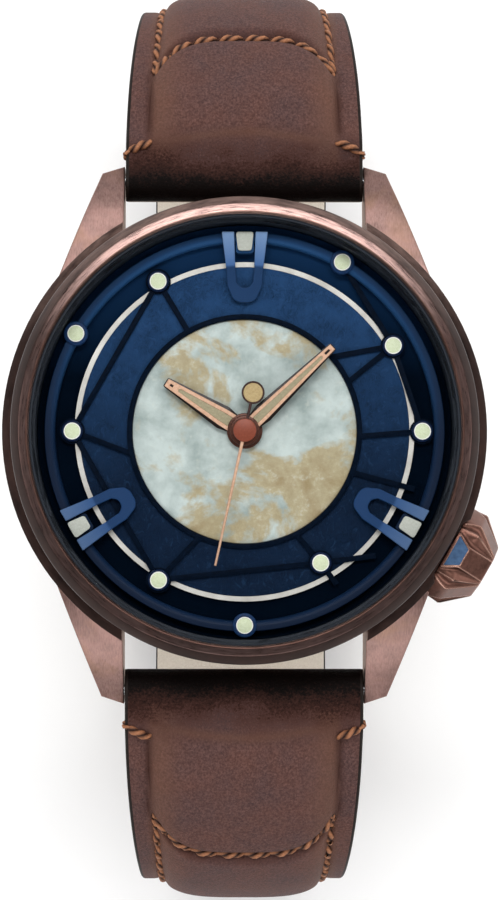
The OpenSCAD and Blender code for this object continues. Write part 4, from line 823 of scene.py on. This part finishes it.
# Depth and half width of the valleys along the cross seam, the long seams and the pad's sides, and how
# the padding falls off sideways before and after the cross seam
relief = {"seam": (0.75, 0.55), "column": (0.28, 0.4), "groove": (0.3, 0.32), "least": 0.9,
          "before": (5, 0.6), "after": (3.6, 0.62)}
keeper = {"wall": 1.2, "floor": 1.6, "gap": 0.2, "outerRound": 1.2, "innerRound": 0.4, "bevel": 0.3}
sine, cosine = math.sin(math.radians(strap["slope"])), math.cos(math.radians(strap["slope"]))
strap["topR"] = (strap["apexY"] - strap["barY"] - strap["lead"] * cosine) / (1 - sine)
strap["apexZ"] = strap["barZ"] - strap["lead"] * sine - strap["topR"] * cosine
strap["sTop"] = strap["lead"] + strap["topR"] * math.radians(90 - strap["slope"])
strap["flatY"] = strap["apexY"] - strap["upperBend"]
hinge = {"endR": 1.7, "lift": 0.4, "growFrom": 77, "growTo": 79.5, "grow": 0.8}
hinge["y"] = strap["flatY"] - (strap["upperLength"] - strap["sTop"] - strap["upperBend"] * math.pi / 2)
hinge["z"] = strap["apexZ"] - strap["upperBend"] + hinge["lift"]

# Thickness by distance from the spring bar: at the edge and in the middle of the pad
upper = {"bend": strap["upperBend"], "wrap": 500.0, "side": 1, "length": strap["upperLength"], "seam": 0,
         "sideStitch": 2.1,
         "edge": [(0, 1.9), (5, 1.6), (12, 1.3), (200, 1.3)],
         "pad": [(0, 1.9), (1.5, 1.92), (7, 3.15), (38, 3.15), (49, 1.3), (200, 1.3)]}
lower = {"bend": strap["lowerBend"], "side": -1, "length": strap["lowerLength"], "seam": 1,
         "sideStitch": 3.0,
         "edge": [(0, 1.9), (5, 1.6), (12, 1.3), (38, 1.3), (49, 1.1), (200, 1.1)],
         "pad": [(0, 1.9), (1.5, 1.92), (7, 3.15), (38, 3.15), (49, 1.1), (200, 1.1)]}
for half in (upper, lower):
    half["flat"] = strap["sTop"] + half["bend"] * math.pi / 2
lower["wrap"] = lower["flat"] + strap["apexY"] - lower["bend"] + strap["flatY"]
# The watch stands on the loops, a gap and a loop's floor below the lower strap's thin end
standZ = strap["apexZ"] - strap["lowerBend"] - lower["edge"][-1][1] - keeper["gap"] - keeper["floor"]


def strapHeading(half, s):
    if s < strap["lead"]:
        return math.radians(strap["slope"])
    if s < strap["sTop"]:
        return math.radians(strap["slope"]) + (s - strap["lead"]) / strap["topR"]
    if s < half["flat"]:
        return math.pi / 2 + (s - strap["sTop"]) / half["bend"]
    return math.pi + max(0, s - half["wrap"]) / half["bend"]


def strapRoute(half, s):
    a, r = strapHeading(half, s), half["bend"]
    if s < strap["lead"]:
        return strap["barY"] + s * cosine, strap["barZ"] - s * sine
    if half["flat"] <= s < half["wrap"]:
        return strap["apexY"] - r - (s - half["flat"]), strap["apexZ"] - r
    if s >= half["wrap"]:
        return -strap["flatY"] + r * math.sin(a), strap["apexZ"] + r * math.cos(a)
    r = strap["topR"] if s < strap["sTop"] else r
    return strap["apexY"] - r * (1 - math.sin(a)), strap["apexZ"] + r * math.cos(a)


def seamAt(half, x):
    k = half["seam"]
    return strap["seamAt"][k] - strap["seamDrop"][k] * (abs(x) / strap["seamHalf"]) ** 3.6


def columnAt(s):
    wide, narrow = strap["columnX"]
    return lookup(s, [(9, wide + 0.1), (16, wide - 0.25), (24, narrow)])


def valley(name, distance):
    depth, width = relief[name]
    return depth * math.exp(-(distance / width) ** 2)


def padding(name, share):
    power, root = relief[name]
    return max(0, 1 - share ** power) ** root


# How far the outside stands over the strap's middle line
def swell(half, x, s):
    edge, pad = lookup(s, half["edge"]), lookup(s, half["pad"])
    ax = abs(x)
    toSeam = s - seamAt(half, min(ax, strap["seamHalf"]))
    first, second = padding("before", ax / (strap["padHalf"] + 0.25)), padding("after", ax / columnAt(s))
    across = first + (second - first) * smoothStep(toSeam, -0.6, 0.8)
    across += (1 - across) * (1 - smoothStep(s, 2.4, 5.0))
    height = edge + max(0, pad - edge) * across
    start = seamAt(half, 8.3)
    past = smoothStep(s, start - 0.6, start + 0.6) * (1 - smoothStep(s, 45, 50))
    groove = smoothStep(s, 2.8, 4.6) * (1 - smoothStep(toSeam, -0.8, 0.4))
    height -= valley("seam", toSeam) * (1 - smoothStep(ax, 8.2, 8.7))
    height -= valley("column", ax - columnAt(s)) * past
    height -= valley("groove", ax - strap["grooveX"]) * groove
    return max(relief["least"], height)


def strapWidth(half, s):
    width = strap["endWidth"]
    if s < half["flat"]:
        low = strap["apexZ"] - strap["upperBend"] + 4
        width = lookup(strapRoute(half, s)[1], [(low, width), (strap["barZ"] - 1, strap["width"])])
    width -= strap["waist"] * math.exp(-((s - strap["waistAt"]) / strap["waistSpan"]) ** 2)
    if half is lower:
        tip = half["length"] - (strap["endWidth"] / 2 + 0.2)
        if s > tip:
            width *= math.sqrt(max(0.0004, 1 - ((s - tip) / (half["length"] - tip)) ** 2))
    return width


def strapPoint(half, x, s, out):
    a = strapHeading(half, s)
    y, z = strapRoute(half, s)
    return Vector((x * mm, half["side"] * (y + out * math.sin(a)) * mm, (z + out * math.cos(a)) * mm))


# One cross section: the outside, then down one edge, back along the lining and up the other edge
def strapRing(half, s):
    across, back = strap["across"], strap["backAcross"]
    beyond = half is upper and s > half["length"]
    inner, shift, cut = lookup(s, half["edge"]), 0.0, 1.0
    if s < 0:
        cut = math.sqrt(max(0.0, 1 - (s / strap["roundR"]) ** 2))
    if half is upper:
        inner += hinge["grow"] * smoothStep(s, hinge["growFrom"], hinge["growTo"])
    if beyond:
        cut = math.sqrt(max(0.0, 1 - ((s - half["length"]) / hinge["endR"]) ** 2))
        shift = -hinge["lift"]
    w = strapWidth(half, s)
    corner = min(strap["corner"], w / 6)
    flat = w / 2 - corner
    points = []
    for i in range(across + 1):
        x = flat * (2 * i / across - 1)
        points.append((x, shift + hinge["endR"] * cut if beyond else swell(half, x, max(0, s)) * cut))
    top = points[-1][1]
    low = shift - hinge["endR"] * cut if beyond else -inner * cut
    c = min(corner, (top - low) / 3)

    def bend(side, angles, level, inward):
        turns = [math.radians(a) for a in angles]
        return [(side * (flat + corner * math.sin(a)), level + inward * c * (1 - math.cos(a))) for a in turns]
    points += bend(1, (30, 60), top, -1) + [(w / 2, top - c), (w / 2, low + c)]
    points += bend(1, (60, 30), low, 1) + [(flat * (1 - 2 * i / back), low) for i in range(back + 1)]
    points += bend(-1, (30, 60), low, 1) + [(-w / 2, low + c), (-w / 2, top - c)]
    points += bend(-1, (60, 30), top, -1)
    return [strapPoint(half, x, s, out) for x, out in points]


def strapStations(half):
    stations = [-1.895, -1.8, -1.6, -1.3, -0.9, -0.5]
    s = 0.0
    for end, step in ((22, 0.22), (half["length"] - 12, 0.8), (half["length"] - 0.01, 0.3)):
        while s < end:
            stations.append(s)
            s += step
    stations.append(half["length"] - 0.002)
    if half is upper:
        stations += [half["length"] + d for d in (0.3, 0.7, 1.1, 1.4, 1.6, 1.69)]
    return stations


# Singeing and painted shade by distance from the spring bar, darkest on the roll by the case
singeAndShade = [(-1.4, 1.1), (-0.4, 0.85), (0.4, 0.62), (1.8, 0.36), (3.3, 0.14), (5, 0)]


# How dark the leather is at a spot, by burnish and by painted shade in the seam's fold, the pad's side grooves
# and by the case, and how much its raised parts are rubbed pale or lit by a painted highlight along the crease
def wearAt(half, x, s):
    ax = abs(x)
    toSeam = s - seamAt(half, min(ax, strap["seamHalf"]))
    # Painted shade with some burnish in the cross seam's fold and along the pad's side grooves
    fold = 0.35 * math.exp(-((toSeam - 0.1) / 0.7) ** 2) * (ax < 8.7)
    fold += 0.2 * math.exp(-((ax - 8.8) / 0.3) ** 2) * smoothStep(s, 2.8, 4.6) * (toSeam < 0.5)
    rubAndHighlight = smoothStep(ax, 5.0, 8.2) * (1 - smoothStep(ax, 8.4, 9.2))
    # Painted highlight along the crease behind the lug's roll
    rubAndHighlight += 0.9 * math.exp(-((s - 3.5 - 0.4 * math.cos(x / 3)) / 0.4) ** 2) * (1 - smoothStep(ax, 5, 8))
    return fold + lookup(s, singeAndShade), rubAndHighlight


def buildStrap(half, name, node, cutters):
    bm = bmesh.new()
    burnishAndShade = bm.verts.layers.float.new("burnishAndShade")
    rise = bm.verts.layers.float.new("rise")
    rings = []
    for s in strapStations(half):
        ring = [bm.verts.new(p) for p in strapRing(half, s)]
        for v in ring:
            v[burnishAndShade], v[rise] = wearAt(half, v.co.x / mm, s)
        rings.append(ring)
    across, size = strap["across"], len(rings[0])
    for row in bridgeRings(bm, rings):
        for i, f in enumerate(row):
            lining = across + 6 <= i < size - 6
            f.material_index = 0 if i < across else 2 if lining else 1
    for ring in (rings[0], rings[-1]):
        bm.faces.new(ring).material_index = 1
    bmesh.ops.recalc_face_normals(bm, faces=bm.faces)
    obj = finishPiece(name, bm, "case", [strapLeather, edgePaint, liningLeather], (node,), 40)
    for cutter in cutters:
        tool = addObject("cutter", cutter)
        cut = obj.modifiers.new("cut", "BOOLEAN")
        cut.operation, cut.object, cut.solver = "DIFFERENCE", tool, "EXACT"
        graph = bpy.context.evaluated_depsgraph_get()
        mesh = bpy.data.meshes.new_from_object(obj.evaluated_get(graph))
        obj.modifiers.clear()
        obj.data = mesh
        bpy.data.objects.remove(tool)
    obj.data.set_sharp_from_angle(angle=math.radians(40))


def leather(name, look):
    material, add, shader, place = startMaterial(name, Specular_IOR_Level=0.09)
    cloud = add("noise", place, 0.22 / mm, 6, 0.62)
    grain = add("noise", place, 4.4 / mm, 5, 0.72)
    fleck = add("noise", add("stretch", place, (1, 0.6, 1)), 7 / mm, 3, 0.6)
    cell = add("cells", place, 2.6 / mm)
    rise, burnishAndShade = add("attribute", attribute_name="rise"), add("attribute", attribute_name="burnishAndShade")
    uneven = add("plus", add("range", grain, 0.3, 0.7, -0.9, 0.9), add("range", cloud, 0.4, 0.6, -0.3, 0.3))
    burnAndShade = add("plus", burnishAndShade, add("times", add("range", burnishAndShade, 0, 0.3, 0, 0.3), uneven))
    tone = layered(add, look["cool"], (cloud, 0.34, 0.66, 1, look["warm"]),
                   (grain, 0.54, 0.34, 0.5, look["deep"]), (grain, 0.48, 0.68, 0.4, look["pale"]),
                   (fleck, 0.5, 0.7, 0.4, look["pale"]), (rise, 0, 1, 0.4, look["rubAndHighlight"]),
                   (burnAndShade, 0.02, 0.5, 1, look["singedAndShaded"]), (burnAndShade, 0.4, 0.9, 1, look["burntAndShaded"]))
    height = add("plus", grain, add("range", cell, 0, 0.12, 0, 0.3))
    coverSurface(shader, tone, add("range", grain, 0.25, 0.75, 0.5, 0.72),
                 add("bump", height, 0.9, 0.09 * mm))
    return material


# Pull-up leather: brown, fine grained, rubbed paler on its ridges with a painted highlight along the crease,
# burnished dark at the lugs with painted shade there and in its seams and grooves
strapLeather = leather("pullUpLeatherBrown", {
    "cool": "#4d3938", "warm": "#5a3c35", "deep": "#2c1c1b", "pale": "#7d5c56", "rubAndHighlight": "#6f4d3c",
    "singedAndShaded": "#3a211b", "burntAndShaded": "#070201"})
# Dark painted edge of the leather
edgePaint = plainFinish("darkEdgePaint", "#17120f", "#241d1a", 0.55, 2.5, metallic=0.0, bump=0.4, gleam=0.1)
# Smooth pale lining against the wrist, darkened near the lugs by the same burnish and painted shade
liningLeather = leather("liningLeatherPale", {
    "cool": "#dcd2c4", "warm": "#e3d9cb", "deep": "#cdc2b3", "pale": "#ece4d9", "rubAndHighlight": "#e3d9cb",
    "singedAndShaded": "#cdc2b3", "burntAndShaded": "#a89988"})

thread = {"thick": 0.28, "thin": 0.2, "pitch": 2.45, "overlap": 0.15, "turns": 1.25, "rings": 9, "sides": 8,
          "seamHalf": 8.5, "columnEnd": 46, "groove": "#2a130c", "paintedCrestLight": "#a9714f"}


def makeThread():
    material, add, shader, place = startMaterial("waxedThreadTan", Roughness=0.6, Specular_IOR_Level=0.25)
    fibre = add("noise", place, 6 / mm, 5, 0.75)
    ply = add("attribute", attribute_name="ply")
    # Painted shade in the grooves between the plies, painted highlight on their crests
    paintedCrestLight = add("times", add("range", ply, 0.35, 0.95), add("range", fibre, 0.3, 0.6, 0.45, 1))
    coverSurface(shader, add("mix", paintedCrestLight, thread["groove"], thread["paintedCrestLight"]), None,
                 add("bump", fibre, 0.7, 0.05 * mm))
    return material


# Thick two-ply waxed thread, fibrous, with painted shade between its plies and a painted highlight on their
# crests
threadTan = makeThread()


def addStitch(bm, half, start, end, thick):
    ply = bm.verts.layers.float["ply"]
    last, sides = thread["rings"] - 1, thread["sides"]
    spots = []
    for k in range(last + 1):
        x, s = [a + (b - a) * (k / last) for a, b in zip(start, end)]
        edge = strapWidth(half, s) / 2
        over = abs(x) - (edge - 0.1)
        if over > 0:
            spots.append(strapPoint(half, math.copysign(edge - 0.02, x), s, swell(half, edge - 0.3, s) - over))
        else:
            rise = -0.35 + 0.62 * math.sin(math.pi * (k / last)) ** 0.45
            spots.append(strapPoint(half, x, s, swell(half, x, s) + rise))
    for strand in (0, 1):
        loops = []
        for k, p in enumerate(spots):
            ahead = (spots[min(k + 1, last)] - spots[max(k - 1, 0)]).normalized()
            up = Vector((0, 0, 1)) if abs(ahead.z) < 0.8 else Vector((0, 1, 0))
            right = ahead.cross(up).normalized()
            up = right.cross(ahead)
            a = math.tau * (thread["turns"] * k / last) + math.pi * strand
            centre = p + (right * math.cos(a) + up * math.sin(a)) * thick * 0.55 * mm
            r = thick * mm * (0.35 + 0.65 * math.sin(math.pi * k / last) ** 0.35)
            loops.append([])
            for b in (math.tau * i / sides for i in range(sides)):
                v = bm.verts.new(centre + (right * math.cos(b) + up * math.sin(b)) * r)
                # Painted shade between the plies, painted highlight on their outer crests
                v[ply] = 0.5 + 0.5 * math.cos(b - a)
                loops[-1].append(v)
        bridgeRings(bm, loops)
        bm.faces.new(loops[0])
        bm.faces.new(loops[-1])


def stitchLine(bm, half, line, pitch=thread["pitch"], thick=thread["thick"]):
    lengths = [0.0]
    for (x0, s0), (x1, s1) in zip(line, line[1:]):
        lengths.append(lengths[-1] + math.hypot(x1 - x0, s1 - s0))
    count = max(1, round(lengths[-1] / pitch))
    step, reach = lengths[-1] / count, thread["overlap"] / 2

    def along(d):
        return [lookup(d, list(zip(lengths, values))) for values in zip(*line)]
    for k in range(count):
        addStitch(bm, half, along(k * step - reach), along((k + 1) * step + reach), thick)


def threadStrap(half, name):
    bm = bmesh.new()
    bm.verts.layers.float.new("ply")
    reach = int(thread["seamHalf"] * 4)
    stitchLine(bm, half, [(x / 4, seamAt(half, x / 4)) for x in range(-reach, reach + 1)])
    start, low = seamAt(half, strap["seamHalf"]) - 0.3, half["sideStitch"]
    column = [start + 0.5 * k for k in range(int((thread["columnEnd"] - start) * 2))]
    for sign in (-1, 1):
        stitchLine(bm, half, [(sign * columnAt(s), s) for s in column])
        root = [(sign * thread["seamHalf"], low + 1), (sign * 9.2, low + 0.35), (sign * 10.7, low + 0.1)]
        stitchLine(bm, half, root, 3.0)
        stitchLine(bm, half, [(sign * 10.6, low + 0.1), (sign * 11.8, low - 0.3)], 2.0, thread["thin"])
    bmesh.ops.recalc_face_normals(bm, faces=bm.faces)
    finishPiece(name, bm, "case", [threadTan], (), 60)


def boxMesh(low, high):
    bm = bmesh.new()
    middle = [(a + b) / 2 * mm for a, b in zip(low, high)]
    size = [(b - a) * mm for a, b in zip(low, high)]
    bmesh.ops.create_cube(bm, size=1, matrix=Matrix.Translation(middle) @ Matrix.Diagonal(size + [1]))
    return closeMesh(bm, "cutter")


def holeMesh(half, s, radius):
    bm = bmesh.new()
    y, z = strapRoute(half, s)
    turn = Matrix.Rotation(strapHeading(half, s) * (-half["side"]), 4, "X")
    bmesh.ops.create_cone(bm, cap_ends=True, segments=32, radius1=radius * mm, radius2=radius * mm,
                          depth=6 * mm, matrix=Matrix.Translation((0, half["side"] * y * mm, z * mm)) @ turn)
    return closeMesh(bm, "cutter")


# Slit for the prong's root, the slot that the prong stands in, and round holes on both sides of it
slit = {"half": 1.3, "reach": 4}
slot = {"y": hinge["y"] - 7.15, "halfLength": 1.75, "halfWidth": 1.15, "height": 5.2}
holes = {"radius": 1.0, "pitch": 7, "steps": (-2, -1, 1, 2, 3, 4)}
slitMesh = boxMesh((-slit["half"], hinge["y"] - slit["reach"], hinge["z"] - slit["reach"]),
                   (slit["half"], hinge["y"] + slit["reach"], hinge["z"] + slit["reach"]))
slotMesh = boxMesh((-slot["halfWidth"], slot["y"] - slot["halfLength"], standZ),
                   (slot["halfWidth"], slot["y"] + slot["halfLength"], standZ + slot["height"]))
slotAt = lower["flat"] + strap["apexY"] - lower["bend"] + slot["y"]
holeMeshes = [holeMesh(lower, slotAt + holes["pitch"] * k, holes["radius"]) for k in holes["steps"]]
buildStrap(upper, "strapUpper", "strap_upper", [slitMesh])
buildStrap(lower, "strapLower", "strap_lower", holeMeshes + [slotMesh])
threadStrap(upper, "strapUpperThread")
threadStrap(lower, "strapLowerThread")
print("strap done")

# The two loops


def buildKeeper(name, node):
    low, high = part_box(node)
    bm = bmesh.new()
    wall = keeper["wall"]
    outX, top, base = high[0] / mm, high[2] / mm, low[2] / mm
    floor = base + keeper["floor"]
    outer = [(outX, base), (outX, top), (-outX, top), (-outX, base)]
    inner = [(outX - wall, floor), (outX - wall, top - wall), (wall - outX, top - wall), (wall - outX, floor)]
    loops = [roundedPath(outer, keeper["outerRound"], 6), roundedPath(inner, keeper["innerRound"], 6)]
    addPlate(bm, loops, 0, (high[1] - low[1]) / mm, keeper["bevel"], 3)
    turn = Matrix(((1, 0, 0), (0, 0, -1), (0, 1, 0)))
    bmesh.ops.rotate(bm, verts=bm.verts, cent=(0, 0, 0), matrix=turn)
    bmesh.ops.translate(bm, verts=bm.verts, vec=(0, high[1], 0))
    bmesh.ops.recalc_face_normals(bm, faces=bm.faces)
    for f in bm.faces:
        f.material_index = 1 if abs(f.normal.y) > 0.8 else 0
    finishPiece(name, bm, nodes[node]["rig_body"], [strapLeather, edgePaint], (node,), 30)


buildKeeper("fixedLoop", "keeper_fixed")
buildKeeper("slidingLoop", "keeper_sliding")
print("loops done")

# Floor and studio light

studio = {"floor": "#fcfcfc", "cloud": "#f9f9f9", "floorHalf": 3.0, "world": 0.45}
bm = bmesh.new()
bmesh.ops.create_grid(bm, x_segments=1, y_segments=1, size=studio["floorHalf"],
                      matrix=Matrix.Translation((0, 0, standZ * mm)))
floor = addObject("floor", closeMesh(bm, "floor"))
# White matt paper that keeps the soft shadows pale
paper, add, shader, place = startMaterial("paleStudioFloor", Roughness=0.8, Specular_IOR_Level=0.1)
coverSurface(shader, add("mix", add("noise", place, 0.004 / mm), studio["cloud"], studio["floor"]))
floor.data.materials.append(paper)

world = bpy.data.worlds.new("studio")
scene.world = world
world.use_nodes = True
background = world.node_tree.nodes["Background"]
background.inputs["Color"].default_value = (1, 1, 1, 1)
background.inputs["Strength"].default_value = studio["world"]


def softBox(name, azimuth, zenith, distance, width, height, power):
    data = bpy.data.lights.new(name, "AREA")
    data.shape = "RECTANGLE"
    data.size, data.size_y, data.energy = width, height, power
    x, y = polar(math.sin(math.radians(zenith)) * distance, azimuth)
    place = Vector((x, y, math.cos(math.radians(zenith)) * distance))
    light = addObject(name, data)
    light.matrix_world = Matrix.Translation(place) @ place.to_track_quat("Z", "Y").to_matrix().to_4x4()


# Azimuth 90 is the side of twelve o'clock
for row in (("stripTwelve", 90, 24, 0.8, 0.5, 0.07, 3.1), ("boxTwelveLow", 90, 55, 0.9, 0.9, 0.4, 3.0),
            ("boxSixLow", 270, 55, 0.9, 0.9, 0.4, 3.0), ("boxLeft", 180, 58, 0.9, 0.35, 0.8, 1.7),
            ("boxRight", 0, 58, 0.9, 0.35, 0.8, 1.6)):
    softBox(*row)
scene.view_settings.view_transform = "Standard"
print("studio done")
